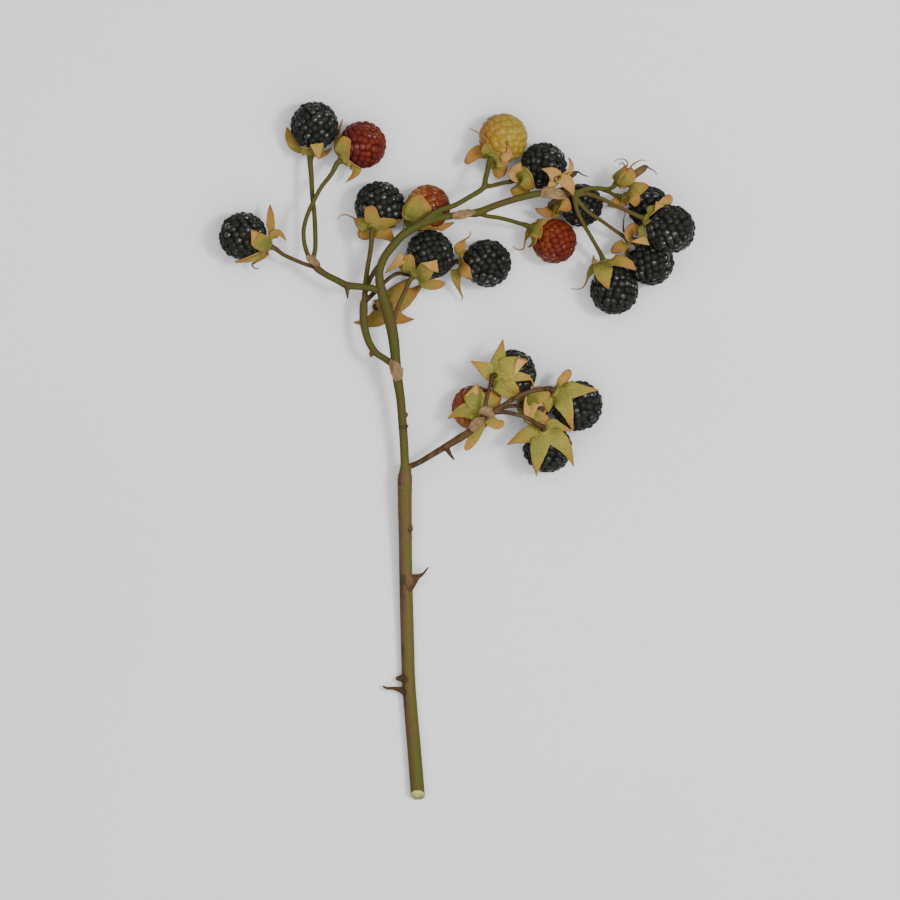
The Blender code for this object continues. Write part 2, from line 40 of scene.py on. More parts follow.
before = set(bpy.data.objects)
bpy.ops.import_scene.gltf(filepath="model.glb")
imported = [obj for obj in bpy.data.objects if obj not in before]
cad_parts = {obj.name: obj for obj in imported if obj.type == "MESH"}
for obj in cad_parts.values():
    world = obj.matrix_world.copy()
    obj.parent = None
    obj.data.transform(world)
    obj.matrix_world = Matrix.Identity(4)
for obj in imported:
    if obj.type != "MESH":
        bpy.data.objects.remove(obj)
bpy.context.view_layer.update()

# Plan grid and units: plan places count 0.36 mm steps east and south, the rest is in millimetres
MM = 0.001
PLAN_STEP = 0.36
PLAN_CENTRE = (457.13, 450.85)
PHOTO_CENTRE = (450.0, 450.0)
PHOTO_STEPS = 900
HUB_STAND_OFF = 1.0
HUB_SPREAD = 1.2
BERRY_FULLNESS = 0.3
PEDICEL_FULLNESS = 1.1
SKIN_LOSS = 0.12

Berry = namedtuple("Berry", "centre radius hub ripeness height hub_lift drift toward")


def berry(centre, radius, hub, ripeness, height=None, hub_lift=None, drift=0.0, toward=(1, 0, 0)):
    """Gives a berry that rests on the surface unless it has a height of its own."""
    resting = radius - 0.35
    return Berry(centre, radius, hub, ripeness, resting if height is None else height, hub_lift,
                 drift, Vector(toward).normalized())


# Berries by number: plan centre, radius, plan place of the calyx and ripeness, 0 green to 1 black
BERRIES = {
    1: berry((315, 127), 8.6, (311.5, 155), 1.0),
    2: berry((363, 146), 8.4, (343, 161), 0.68, drift=0.08, toward=(-1, -0.6, 0)),
    3: berry((244, 237), 8.6, (270, 247), 1.0),
    4: berry((380, 207), 9.0, (374, 229), 1.0),
    5: berry((428, 208), 7.9, (417, 225), 0.4, drift=0.2, toward=(1, 0.1, 0.1)),
    6: berry((430, 255), 8.6, (414, 276), 0.98),
    7: berry((487, 264), 8.6, (458, 262), 1.0, hub_lift=-3.0),
    9: berry((503, 139), 8.6, (492, 159), 0.03, drift=0.24, toward=(-1, 0.2, 0)),
    10: berry((543, 167), 8.4, (516, 180), 1.0),
    11: berry((581, 206), 7.7, (557, 207), 1.0),
    12: berry((554, 242), 7.9, (531, 229), 0.6, drift=0.09, toward=(1, -0.7, 0)),
    13: berry((648, 208), 7.5, (621, 198), 1.0),
    14: berry((668.5, 231.5), 8.7, (645, 222), 1.0, height=20.0, hub_lift=0.0),
    15: berry((650, 263), 8.3, (625, 239), 1.0),
    16: berry((613.5, 291), 8.7, (601, 257), 1.0),
    19: berry((512, 374), 8.6, (496, 376), 1.0, height=11.0),
    20: berry((474, 408), 7.9, (483, 413), 0.47, drift=0.1, toward=(0.4, 1, 0)),
    21: berry((577, 406), 9.0, (553, 391), 0.97, height=10.4, hub_lift=3.5),
    22: berry((547, 448), 8.8, (543, 431), 1.0),
    23: berry((538, 402), 5.5, (523.5, 405), 0.96),
}

# Calyces that hold no berry: plan place and height of the hub, direction of the stem
BARE_HUBS = {
    8: ((388, 307, 3.5), (0.0, 0.0, 1.0)),
    17: ((616, 184, 13.0), (-0.64, -0.76, -0.1)),
    18: ((555.5, 182, 21.6), (0.0, 0.0, -1.0)),
}

Sepal = namedtuple("Sepal", "tip width mid over tail dry form facing")


def sepal(east, south, height, width, mid=None, over=None, tail=(), dry=0.0, form="lance", facing=1):
    """Gives a sepal by its tip, or by its crease where over is the tip of a folded end."""
    return Sepal((east, south, height), width, mid, over, tail, dry, form, facing)


# Sepals of each calyx by plan place and height, with the blade's width. Mid is a place that the
# blade passes, tail the fine curled end, dry how far it has turned from olive over orange to brown,
# facing 1 where its outer face turns up, -1 where its inner face does and 0 where neither does
SEPALS = {
    1: [sepal(287.5, 128.5, 6.0, 3.8, mid=(293.5, 144, 5.6), dry=0.28, form="ovate"),
        sepal(306.5, 147.5, 13.8, 3.6),
        sepal(317.5, 145, 14.8, 4.6, over=(319.2, 161, 12.0), form="blunt"),
        sepal(332, 148.5, 5.0, 2.6, mid=(324, 154.5, 5.4), dry=0.4),
        sepal(314, 146, 1.6, 3.8, facing=0)],
    2: [sepal(348.5, 140, 15.4, 5.6, dry=0.1, form="square"),
        sepal(345.5, 183.5, 6.6, 4.3, mid=(357, 170.5, 10.4), dry=0.3),
        sepal(357, 160, 11.5, 3.4),
        sepal(343, 120, 6.0, 2.4, mid=(337.5, 142, 6.5), dry=0.3),
        sepal(353, 152, 1.6, 3.8, facing=0)],
    3: [sepal(252, 238, 16.4, 5.6, over=(259, 234, 16.4), dry=0.12, form="blunt"),
        sepal(270.8, 205.5, 8.0, 2.9, mid=(271.4, 224, 9.0), dry=0.34, form="ovate"),
        sepal(286.6, 241.6, 9.0, 3.4, mid=(278, 234, 9.6), dry=0.42),
        sepal(236, 263.5, 10.0, 4.2, mid=(254, 256, 11.5), dry=0.22, form="ovate"),
        sepal(252.5, 265, 5.4, 2.6, tail=[(255.5, 269, 5.0), (259.5, 268.5, 5.6)], dry=0.5, facing=-1)],
    4: [sepal(370.5, 208, 17.0, 5.2, dry=0.16, form="square"),
        sepal(396, 221.5, 11.4, 5.8, mid=(386, 221, 13.4), dry=0.1,
              tail=[(401, 221.5, 11.0), (404, 225.5, 10.4), (403.5, 230, 9.8)]),
        sepal(354, 219, 10.6, 5.6,
              tail=[(347, 216, 10.0), (341.5, 216.5, 9.4), (338, 220.5, 8.8)]),
        sepal(361, 240, 11.0, 5.2, mid=(366, 234, 12.0), dry=0.4, form="blunt"),
        sepal(396, 245, 10.0, 6.4, mid=(385, 234, 12.0), dry=0.3)],
    5: [sepal(426.5, 202.5, 17.0, 9.4, mid=(419, 212, 15.8), dry=0.08, form="square"),
        sepal(410, 201, 13.0, 5.6, over=(421, 200, 15.0), form="blunt"),
        sepal(454, 223.5, 8.0, 5.0, mid=(437, 228, 9.0), dry=0.4),
        sepal(430, 226, 1.6, 3.2, facing=0),
        sepal(404, 221, 7.0, 4.0)],
    6: [sepal(405.5, 256.5, 14.4, 4.2, over=(386, 273, 10.0), dry=0.3, form="blunt"),
        sepal(411, 256, 15.4, 5.0, form="blunt"),
        sepal(429.5, 262, 17.2, 5.6, over=(438.5, 273.5, 14.6), form="blunt"),
        sepal(445, 283.5, 8.5, 3.8, mid=(430, 285, 9.0), dry=0.15, form="blunt"),
        sepal(424, 272, 1.4, 3.4, facing=0)],
    7: [sepal(465, 240.5, 11.5, 4.4, mid=(459.5, 251, 11.0), dry=0.4, form="ovate",
              tail=[(468.5, 238.5, 11.8), (470.3, 235, 12.2), (470, 232, 12.2)]),
        sepal(472.5, 280, 13.0, 4.2, mid=(464, 270, 14.0), dry=0.4, form="blunt"),
        sepal(461.5, 295, 4.5, 4.2, mid=(456, 277, 9.0), dry=0.05,
              tail=[(462.5, 298, 4.0), (460.5, 301, 3.4)]),
        sepal(468, 250, 2.0, 3.4, facing=0),
        sepal(470, 270, 1.2, 3.0, facing=0)],
    8: [sepal(408, 279, 1.8, 6.4, mid=(399, 291, 1.6), dry=0.32),
        sepal(422, 285, 1.2, 6.4, mid=(407, 297, 1.2), dry=0.34),
        sepal(414, 319, 0.9, 5.0, dry=0.36),
        sepal(354, 322.5, 0.9, 6.2, mid=(374, 320, 1.1), dry=0.34),
        sepal(374, 301, 1.2, 4.2, dry=0.6, facing=0)],
    9: [sepal(465.6, 165, 8.0, 4.6, mid=(479, 153, 9.4), dry=0.34, form="blunt"),
        sepal(496, 179, 8.6, 5.6, mid=(499, 168, 9.6), dry=0.26, form="blunt"),
        sepal(488, 143, 14.8, 5.0, dry=0.05,
              tail=[(480, 136.5, 15.4), (474, 133, 15.0), (469.4, 130.6, 14.4)]),
        sepal(505.5, 144, 17.2, 3.8, mid=(507.5, 157, 14.6), dry=0.5, facing=-1),
        sepal(507, 160.5, 12.5, 5.4, dry=0.1, form="blunt")],
    10: [sepal(520.5, 164, 13.0, 5.6, mid=(516.5, 172, 12.6), dry=0.3, facing=-1),
         sepal(532.5, 190, 11.4, 6.8, mid=(524, 179, 14.0), form="square"),
         sepal(531, 195, 6.5, 5.2, mid=(519, 192.5, 8.5), dry=0.3, form="blunt"),
         sepal(508.5, 174, 6.0, 4.0, dry=0.3, form="blunt"),
         sepal(527, 182, 1.3, 3.4, facing=0)],
    11: [sepal(535, 209.4, 9.5, 4.2, mid=(545, 213, 9.0), dry=0.6),
         sepal(569, 212.5, 15.0, 5.2, mid=(561, 205, 17.4), dry=0.2, form="blunt"),
         sepal(550, 219, 6.5, 3.6, dry=0.3),
         sepal(560, 190, 7.0, 3.6, facing=0),
         sepal(566, 207, 1.3, 3.4, facing=0)],
    12: [sepal(541, 238.5, 14.0, 5.4, form="blunt"),
         sepal(527.5, 248, 8.0, 4.4, mid=(536.5, 240, 11.4), dry=0.2),
         sepal(525, 241, 6.5, 2.6, dry=0.3,
               tail=[(523, 249.5, 6.4), (517, 250, 6.0), (512, 246.5, 5.8)]),
         sepal(549, 220.5, 12.4, 3.4, mid=(540, 224, 12.6), dry=0.25,
               tail=[(553, 218, 12.8), (557, 215.5, 12.8)]),
         sepal(545, 240, 1.3, 3.4, facing=0)],
    13: [sepal(647.5, 188, 11.0, 4.6, mid=(634, 191, 13.4), dry=0.16, form="blunt"),
         sepal(635.5, 208, 13.4, 4.6, mid=(631, 198, 14.5), dry=0.25, form="blunt"),
         sepal(606.5, 206.5, 6.0, 4.4, mid=(614, 204.5, 8.0), dry=0.5),
         sepal(626, 206, 10.0, 4.0, dry=0.3),
         sepal(634, 206, 1.2, 3.2, facing=0)],
    14: [sepal(658.5, 215, 22.6, 4.6, over=(653.5, 204.5, 24.2), form="blunt"),
         sepal(650, 242, 20.4, 4.0, over=(629.5, 243.5, 19.0), form="blunt"),
         sepal(665, 197.5, 15.5, 4.0, mid=(663, 206, 18.5), dry=0.15, form="blunt", facing=-1),
         sepal(651, 224, 24.5, 2.6),
         sepal(655, 226, 12.0, 3.2, facing=0)],
    15: [sepal(639, 232, 14.4, 4.6, mid=(631, 232, 14.0), dry=0.6, form="blunt", facing=-1),
         sepal(610.5, 253, 7.0, 4.0, mid=(620, 247, 9.0), dry=0.3, form="blunt"),
         sepal(622.5, 231, 10.4, 2.2, dry=0.7, tail=[(622.5, 223, 10.8), (624, 213, 11.0)]),
         sepal(631, 262, 3.0, 3.4, facing=0),
         sepal(637, 250, 1.3, 3.2, facing=0)],
    16: [sepal(607, 290.5, 17.6, 6.6, mid=(601.5, 271, 17.4), form="ovate"),
         sepal(636.7, 270, 13.6, 3.6, mid=(619, 262, 14.0), dry=0.22, form="blunt"),
         sepal(592.8, 255.6, 10.0, 3.0, mid=(594.5, 264, 10.4), dry=0.7),
         sepal(586.5, 281, 6.0, 3.2, mid=(591, 271, 8.4),
               tail=[(583, 287.5, 4.8), (577, 289.6, 4.2), (570, 288.6, 4.0)]),
         sepal(606, 277, 1.2, 3.6, facing=0)],
    17: [sepal(626, 167.5, 15.6, 5.2, mid=(617, 176, 16.6), dry=0.15, form="ovate",
               tail=[(625, 163, 15.6), (619, 161, 15.4), (612.5, 163.5, 15.0)], facing=0),
         sepal(629.5, 168.5, 15.4, 5.0, mid=(627, 180, 16.4), dry=0.2, form="ovate",
               tail=[(635.5, 164, 15.6), (640.5, 162.2, 15.4), (644, 163, 15.2)], facing=0),
         sepal(624, 169, 12.4, 4.6, mid=(617, 177, 12.0), dry=0.2,
               tail=[(621.5, 164.5, 12.6), (617.5, 167, 12.4)], facing=0),
         sepal(645, 168, 15.0, 2.6, mid=(637, 174, 15.0), dry=1.1, form="blunt",
               tail=[(649, 171, 14.6), (652.5, 172.5, 14.2), (655.5, 176.5, 13.6)]),
         sepal(637, 184, 11.6, 3.0, dry=0.7)],
    18: [sepal(540.5, 172, 21.6, 4.4, mid=(551, 175.5, 22.4), dry=0.15, facing=-1),
         sepal(546.5, 189.5, 22.0, 2.8, dry=0.1, facing=-1),
         sepal(572, 198, 21.6, 4.4, mid=(565.5, 185, 22.8), dry=0.25, form="ovate", facing=-1),
         sepal(567.2, 160.6, 21.2, 1.9, mid=(569, 173, 21.6), dry=0.3, form="ovate", facing=-1),
         sepal(576, 174.5, 21.2, 2.4, dry=1.5, form="blunt", facing=-1,
               tail=[(582, 178, 21.0), (587, 179.3, 20.8)])],
    19: [sepal(502.5, 340, 14.0, 5.4, mid=(499, 358, 18.6), dry=0.08),
         sepal(470.5, 362, 17.0, 5.6, mid=(484, 369, 19.0), dry=0.14),
         sepal(521, 369, 19.8, 7.6, over=(516.5, 359.5, 20.8), form="blunt"),
         sepal(531, 381, 16.0, 3.0, mid=(520, 377, 18.4), dry=0.1,
               tail=[(532.8, 386, 15.0), (530.5, 391, 14.0), (524, 393.5, 13.6)]),
         sepal(516.5, 396, 16.0, 7.2, mid=(504, 386, 18.0), form="blunt")],
    20: [sepal(448, 419, 9.4, 6.2, mid=(464.5, 411, 15.4), dry=0.1),
         sepal(470, 390, 14.4, 7.0, over=(480, 395, 16.0), form="square"),
         sepal(465, 450, 7.4, 3.8, mid=(475, 435, 9.6), dry=0.2, form="blunt"),
         sepal(503, 421, 12.6, 3.6, mid=(495, 424, 12.6), dry=0.15, form="blunt"),
         sepal(493, 390, 13.4, 6.8, dry=0.15, form="blunt")],
    21: [sepal(597.5, 390.5, 14.6, 6.2, mid=(576, 391, 18.4)),
         sepal(569.5, 370.5, 12.0, 3.4, mid=(564, 378, 13.0), dry=0.5, form="blunt"),
         sepal(571.5, 431, 15.4, 6.6, mid=(565, 408, 18.6), dry=0.05),
         sepal(547.5, 412, 16.4, 4.4),
         sepal(562, 383, 4.5, 3.6, facing=0)],
    22: [sepal(507, 444.5, 11.8, 6.0, mid=(524, 436, 15.4), dry=0.14),
         sepal(536, 476, 11.4, 6.4, dry=0.04),
         sepal(572.5, 466, 11.6, 6.2, dry=0.08),
         sepal(570, 432, 15.0, 5.4, dry=0.05),
         sepal(535, 424, 17.6, 3.8, dry=0.7, facing=-1)],
    23: [sepal(549, 396.5, 13.4, 6.0, mid=(536, 395.5, 14.0), form="blunt"),
         sepal(548, 419, 13.4, 6.0, mid=(534, 418, 13.8), form="blunt"),
         sepal(546, 408.5, 12.0, 7.4, mid=(535, 407.5, 13.0), dry=0.3, form="blunt", facing=-1),
         sepal(528, 395, 12.0, 3.6),
         sepal(528, 416, 12.0, 3.6)],
}

# Routes of the stems: plan place, height and radius of each station
CANE = [
    (418, 797, 2.6, 2.5), (416, 770, 2.5, 2.45), (413.5, 740, 2.45, 2.4), (410.5, 705, 2.4, 2.35),
    (408.5, 675, 2.4, 2.35), (407, 620, 3.0, 2.35), (406, 580, 4.0, 2.3), (405.5, 540, 5.2, 2.3),
    (405, 505, 6.6, 2.45), (405, 480, 7.6, 2.6), (405.5, 470, 8.1, 2.1), (405, 462, 8.6, 1.5),
    (404, 440, 9.5, 1.5), (402.5, 420, 10.4, 1.5), (401, 400, 11.3, 1.55), (398, 380, 12.3, 1.7),
    (396, 360, 13.1, 1.7), (394, 340, 14.0, 1.9), (390.5, 322, 14.8, 2.05), (386, 305, 15.6, 1.95),
    (382, 292, 16.2, 1.75), (380, 280, 16.7, 1.5), (380.5, 270, 17.1, 1.4), (385.5, 258, 17.4, 1.4),
    (393, 248, 17.7, 1.45), (402, 238, 18.0, 1.45), (412, 231, 18.2, 1.45), (421, 226, 18.4, 1.4),
    (430, 223, 18.5, 1.3), (440, 220, 18.7, 1.2), (452, 218, 18.8, 1.15), (466, 216, 18.8, 1.2),
    (477, 215, 18.8, 1.45), (487, 211, 18.9, 1.2), (500, 206, 19.0, 1.15), (520, 200, 19.0, 1.15),
    (540, 195.5, 18.8, 1.15), (556, 194, 18.5, 1.25), (563, 193, 18.3, 1.3),
]
UPPER_BRANCH = [
    (421, 226, 18.4, 1.0), (430, 218, 18.9, 0.95), (440, 212.5, 19.2, 0.9), (455, 207.5, 19.2, 0.85),
    (470, 199, 18.8, 0.85), (480, 193, 18.2, 0.9), (484, 189, 17.8, 0.95),
]
LEFT_LATERAL = [
    (372, 289.5, 15.9, 1.2), (363, 288, 15.5, 1.15), (348, 286.6, 14.8, 1.25), (339, 282, 14.2, 1.15),
    (327, 276, 13.4, 1.1), (318, 269.5, 12.7, 1.25), (313, 263, 12.3, 1.2),
]
SECOND_LATERAL = [
    (390, 362.5, 13.1, 1.2), (384, 358.5, 12.7, 1.1), (376, 353, 12.2, 1.15), (369, 342, 11.5, 1.25),
    (364.5, 325, 10.8, 1.35), (364, 309, 10.2, 1.45), (364.5, 301, 10.0, 1.2),
]
LOWER_LATERAL = [
    (411, 466, 8.8, 1.0), (420, 462, 9.8, 0.95), (430, 456, 11.0, 1.0), (440, 450, 12.5, 1.1),
    (450, 444, 14.3, 1.2), (460, 438, 16.2, 1.35), (468, 433, 17.6, 1.2), (475, 427, 18.8, 1.1),
    (483, 419, 20.0, 1.2), (491, 413, 20.5, 1.1),
]
RIGHT_KNOT = [(566, 193.5, 18.1, 1.1), (571, 195, 17.9, 1.15), (575, 197, 17.6, 1.0)]

# How far off the hub a pedicel's last stations are, and how much thicker each is than the rest
PEDICEL_END = ((2.5, 0.12), (1.2, 0.3), (0.2, 0.6))

# Routes of the pedicels, each from its stem to near the hub of the calyx with its number
PEDICELS = {
    1: [(313, 263, 12.3, 0.8), (316, 250, 12.0, 0.7), (316, 232, 11.4, 0.7), (315, 214, 10.8, 0.7),
        (313, 197, 10.2, 0.7), (312, 178, 9.4, 0.75)],
    2: [(313, 263, 12.3, 0.8), (308, 254, 13.4, 0.7), (305, 242, 13.9, 0.65), (305, 229, 14.0, 0.65),
        (309, 215, 13.9, 0.65), (315, 202, 13.6, 0.65), (322, 189, 13.0, 0.65), (332, 176, 12.2, 0.7)],
    3: [(316, 268, 12.5, 0.7), (308, 266, 11.8, 0.6), (297, 261.5, 10.8, 0.6), (284, 255.5, 9.4, 0.6)],
    4: [(364.5, 303, 10.0, 0.8), (365.5, 290, 10.0, 0.8), (367, 275, 10.8, 0.75),
        (370, 258, 12.8, 0.7), (372, 245, 14.8, 0.75)],
    5: [(364.5, 303, 10.0, 0.8), (367, 288, 9.4, 0.75), (375, 272, 9.8, 0.7), (385, 260, 10.8, 0.65),
        (395, 248, 12.2, 0.65), (404, 238, 13.4, 0.65)],
    6: [(393, 326, 14.6, 0.8), (396, 315, 14.2, 0.65), (400, 304, 13.4, 0.65), (405, 293, 12.2, 0.65)],
    7: [(364.5, 303, 10.0, 0.8), (370, 298, 9.4, 0.7), (378, 290, 8.6, 0.65), (388, 280, 7.6, 0.6),
        (398, 274, 6.4, 0.6), (408, 275, 4.4, 0.6), (420, 278, 2.4, 0.6), (434, 277, 1.6, 0.6),
        (444, 273, 2.0, 0.6), (450, 267, 3.0, 0.6)],
    8: [(387, 307, 15.4, 0.8), (388, 308, 10.5, 0.7)],
    9: [(484, 189, 17.8, 0.9), (485, 182, 17.2, 0.8), (487, 174, 16.2, 0.8)],
    10: [(484, 189, 17.8, 0.8), (491, 188, 16.6, 0.65), (498, 186, 14.2, 0.65), (505, 184, 11.4, 0.65)],
    11: [(570, 195, 17.9, 0.8), (559, 200, 16.0, 0.65), (550, 205, 13.0, 0.65)],
    12: [(477, 215, 18.8, 0.8), (486, 218, 17.6, 0.65), (498, 219.5, 15.4, 0.65),
         (510, 222, 12.6, 0.65), (519, 224.5, 10.0, 0.65)],
    13: [(598, 190.5, 16.6, 0.65), (607, 193.5, 13.6, 0.55), (614, 196.5, 10.4, 0.55)],
    14: [(575, 197, 17.6, 0.75), (587, 196.5, 17.6, 0.65), (600, 201, 18.6, 0.6), (614, 208, 19.6, 0.55),
         (628, 214.5, 20.2, 0.55)],
    15: [(573, 198, 17.6, 0.75), (585, 212, 16.6, 0.6), (599, 221.5, 14.4, 0.55), (611, 229.5, 11.4, 0.5)],
    16: [(573, 198, 17.6, 0.8), (576, 212, 16.2, 0.65), (582, 224.5, 14.4, 0.6), (590, 238, 12.2, 0.6),
         (596, 248, 10.8, 0.6)],
    17: [(575, 195, 17.7, 0.75), (586, 191, 17.2, 0.7), (598, 190.5, 16.6, 0.65), (606, 191, 14.8, 0.55)],
    18: [(571, 195, 17.9, 0.7), (563, 188, 18.4, 0.6)],
    19: [(487, 416, 20.3, 0.75), (485, 406, 20.8, 0.65), (487, 396, 21.4, 0.6), (490, 385, 21.6, 0.55)],
    20: [(488, 415.5, 20.3, 0.75)],
    21: [(491, 413, 20.5, 0.85), (500, 407.5, 20.8, 0.7), (512, 400, 20.6, 0.65),
         (526, 393, 20.0, 0.65), (540, 390, 18.6, 0.65)],
    22: [(491, 413, 20.5, 0.85), (503, 412.5, 20.8, 0.65), (515, 414.5, 20.6, 0.6),
         (528, 419, 20.0, 0.6), (537, 425, 19.0, 0.65)],
    23: [(491, 413, 20.5, 0.7), (503, 408, 18.4, 0.55), (513, 406, 15.4, 0.55)],
}

# Prickles: root, bend and tip, each with its radius
PRICKLES = {
    "cane": [
        [(409, 580, 4.0, 1.9), (415, 577.5, 4.2, 1.2), (420, 575.5, 4.4, 0.7), (424.5, 572, 4.6, 0.35),
         (428.5, 566.5, 4.8, 0.22)],
        [(409, 587, 4.0, 1.8), (414, 582, 4.1, 1.1), (418, 577, 4.3, 0.6)],
        [(406, 679, 2.6, 1.6), (400, 678, 2.6, 1.0), (395.5, 678, 2.5, 0.5)],
        [(406, 691.5, 2.2, 1.7), (400, 689.5, 2.1, 0.9), (394, 688, 2.0, 0.55), (387, 688, 2.0, 0.42),
         (382.5, 685.5, 2.2, 0.3)],
        [(402, 427, 10.2, 0.8), (409, 426, 10.2, 0.2)],
        [(405, 530, 5.4, 1.0), (413.5, 529, 5.4, 0.25)],
    ],
    "spray_left": [[(348, 286.6, 14.8, 1.1), (348, 293, 14.7, 0.6), (348.5, 300, 14.5, 0.15)]],
    "spray_second": [[(376, 352, 12.2, 1.0), (373, 355, 12.0, 0.5), (370.5, 358, 11.8, 0.15)]],
    "spray_lower": [[(446, 447, 13.4, 1.1), (450, 454, 13.2, 0.6), (454.5, 460, 13.0, 0.15)]],
}

# Stems of each node, the pedicels that grow on them, how brown they are and the grain of the mesh
StemNode = namedtuple("StemNode", "routes pedicels brown voxel")
STEM_NODES = {
    "cane": StemNode([CANE, UPPER_BRANCH], [6, 8, 9, 10, 12], 0.3, 0.3),
    "spray_left": StemNode([LEFT_LATERAL], [1, 2, 3], 0.3, 0.22),
    "spray_second": StemNode([SECOND_LATERAL], [4, 5, 7], 0.35, 0.22),
    "spray_right": StemNode([RIGHT_KNOT], [11, 13, 14, 15, 16, 17, 18], 0.45, 0.2),
    "spray_lower": StemNode([LOWER_LATERAL], [19, 20, 21, 22, 23], 0.9, 0.22),
}

# Where a side stem grows out of the cane, how brown each pedicel is, and the scars and buds
JOINS = {
    "spray_left": (379, 291.5, 16.2, 1.3),
    "spray_second": (395, 365, 13.2, 1.35),
    "spray_right": (562, 193, 18.3, 1.3),
    "spray_lower": (406, 469, 8.4, 1.2),
}
PEDICEL_BROWN = {1: 0.3, 2: 0.35, 3: 0.7, 4: 0.6, 5: 0.9, 6: 0.7, 7: 1.1, 8: 0.8, 9: 0.15, 10: 0.6,
                 11: 0.7, 12: 0.35, 13: 0.3, 14: 0.5, 15: 0.6, 16: 0.6, 17: 0.25, 18: 0.7,
                 19: 1.0, 20: 0.9, 21: 1.0, 22: 1.0, 23: 0.9}
BUMPS = {
    "cane": [
        [(408, 476, 8.6, 1.1), (410, 474, 8.9, 0.7)],
        [(402, 479, 8.2, 1.2), (401, 477, 8.6, 0.8)],
        [(407, 415, 11.0, 0.8), (408.2, 415, 11.2, 0.4)],
        [(401, 375, 12.8, 1.0), (402.5, 375, 13.0, 0.5)],
        [(411, 527, 5.5, 1.0), (412.7, 527.5, 5.5, 0.6)],
        [(406.5, 579, 5.0, 1.2), (409, 580.5, 5.0, 1.1)],
        [(411, 538.5, 5.2, 0.8), (412.4, 538.5, 5.2, 0.5)],
    ],
    "spray_right": [[(586, 195.4, 18.0, 0.9), (586, 194.6, 18.5, 0.5)]],
    "spray_second": [[(372, 354, 12.0, 0.9), (370, 355.5, 11.8, 0.5)]],
}

# How much browner prickles and bumps are. Where and how steeply the cane is cut, the spare length
# that is cut off it, and how near and how flat a face has to be to show its wood
PRICKLE_BROWN = 0.7
BUMP_BROWN = 0.45
CUT_PLACE = (418, 795.2, 2.3)
CUT_SLANT = 0.75
CUT_SPARE = 3.0
CUT_REACH = 4.0
CUT_FLATNESS = 0.98

# Bracts: foot, middle and tip with heights, and the width
BRACTS = {
    "bract_cane": ([(399, 381, 15.0), (396.5, 370, 15.5), (391, 360, 15.4)], 4.6),
    "bract_left": ([(308, 257, 14.8), (314, 262, 14.6), (321, 267, 14.4)], 3.0),
    "bract_arch": ([(452, 219, 20.6), (464, 216.5, 20.8), (476, 214, 20.9)], 3.2),
    "bract_right": ([(540, 195, 20.5), (551, 195, 20.9), (565, 199.5, 20.4)], 4.8),
    "bract_lower": ([(470, 430, 20.6), (477, 424, 21.6), (484, 418, 22.4)], 3.8),
    "bract_tip": ([(479, 411, 22.6), (487, 411.5, 22.8), (494, 417, 22.8)], 3.6),
}


# Settings that a user would change
class BerrySettings(bpy.types.PropertyGroup):
    """Sizes and colours of the berries."""
    drupelets: IntProperty(name="Drupelets", default=116, min=40, max=200,
                           description="Drupelets on a full berry")
    drupelet_radius: FloatProperty(name="Drupelet radius", default=1.64 * MM, unit="LENGTH",
                                   description="Radius of a drupelet across the berry's surface")
    drupelet_height: FloatProperty(name="Drupelet height", default=1.5 * MM, unit="LENGTH",
                                   description="Height of a drupelet above the core")
    yellow: FloatVectorProperty(name="Unripe", subtype="COLOR", default=(0.212, 0.152, 0.02),
                                description="Skin of an unripe drupelet")
    red: FloatVectorProperty(name="Red", subtype="COLOR", default=(0.078, 0.0095, 0.005),
                             description="Skin of a red drupelet")
    black: FloatVectorProperty(name="Ripe", subtype="COLOR", default=(0.0112, 0.0118, 0.0095),
                               description="Skin of a ripe drupelet")


class LeafSettings(bpy.types.PropertyGroup):
    """Sizes and colours of the sepals and bracts."""
    thickness: FloatProperty(name="Thickness", default=0.3 * MM, unit="LENGTH",
                             description="Thickness of a sepal")
    green: FloatVectorProperty(name="Green", subtype="COLOR", default=(0.135, 0.13, 0.024),
                               description="Outer face of a fresh sepal near its foot")
    olive: FloatVectorProperty(name="Olive", subtype="COLOR", default=(0.2, 0.152, 0.027),
                               description="Outer face of a sepal that begins to turn")
    orange: FloatVectorProperty(name="Orange", subtype="COLOR", default=(0.27, 0.127, 0.025),
                                description="Outer face of a sepal near its tip")
    tan: FloatVectorProperty(name="Tan", subtype="COLOR", default=(0.36, 0.205, 0.062),
                             description="Downy inner face of a sepal, and a dry outer face")
    paper: FloatVectorProperty(name="Paper", subtype="COLOR", default=(0.158, 0.103, 0.05),
                               description="Dry bract")


class StemSettings(bpy.types.PropertyGroup):
    """Colours of the cane and stems."""
    green: FloatVectorProperty(name="Green", subtype="COLOR", default=(0.067, 0.07, 0.015),
                               description="Bark on the lit, green side")
    brown: FloatVectorProperty(name="Brown", subtype="COLOR", default=(0.092, 0.051, 0.028),
                               description="Bark that has browned")
    pith: FloatVectorProperty(name="Pith", subtype="COLOR", default=(0.68, 0.7, 0.33),
                              description="Fresh wood of the cut end")


class StageSettings(bpy.types.PropertyGroup):
    """Floor, lights and camera."""
    floor: FloatVectorProperty(name="Floor", subtype="COLOR", default=(0.62, 0.62, 0.63),
                               description="Colour of the surface")
    camera_height: FloatProperty(name="Camera height", default=2.0, unit="LENGTH",
                                 description="Height of the camera above the surface")
    key_power: FloatProperty(name="Key light", default=16.5, unit="POWER",
                             description="Power of the light from the right")
    fill_power: FloatProperty(name="Fill light", default=76.0, unit="POWER",
                              description="Power of the broad light from above")


# Plan and vectors
UP = Vector((0.0, 0.0, 1.0))


def at(east, south, height):
    """Gives a point in millimetres from its plan place and its height."""
    return Vector(((east - PLAN_CENTRE[0]) * PLAN_STEP, (PLAN_CENTRE[1] - south) * PLAN_STEP, height))


def berry_centre(number):
    """Gives the centre of a berry."""
    fruit = BERRIES[number]
    return at(*fruit.centre, fruit.height)


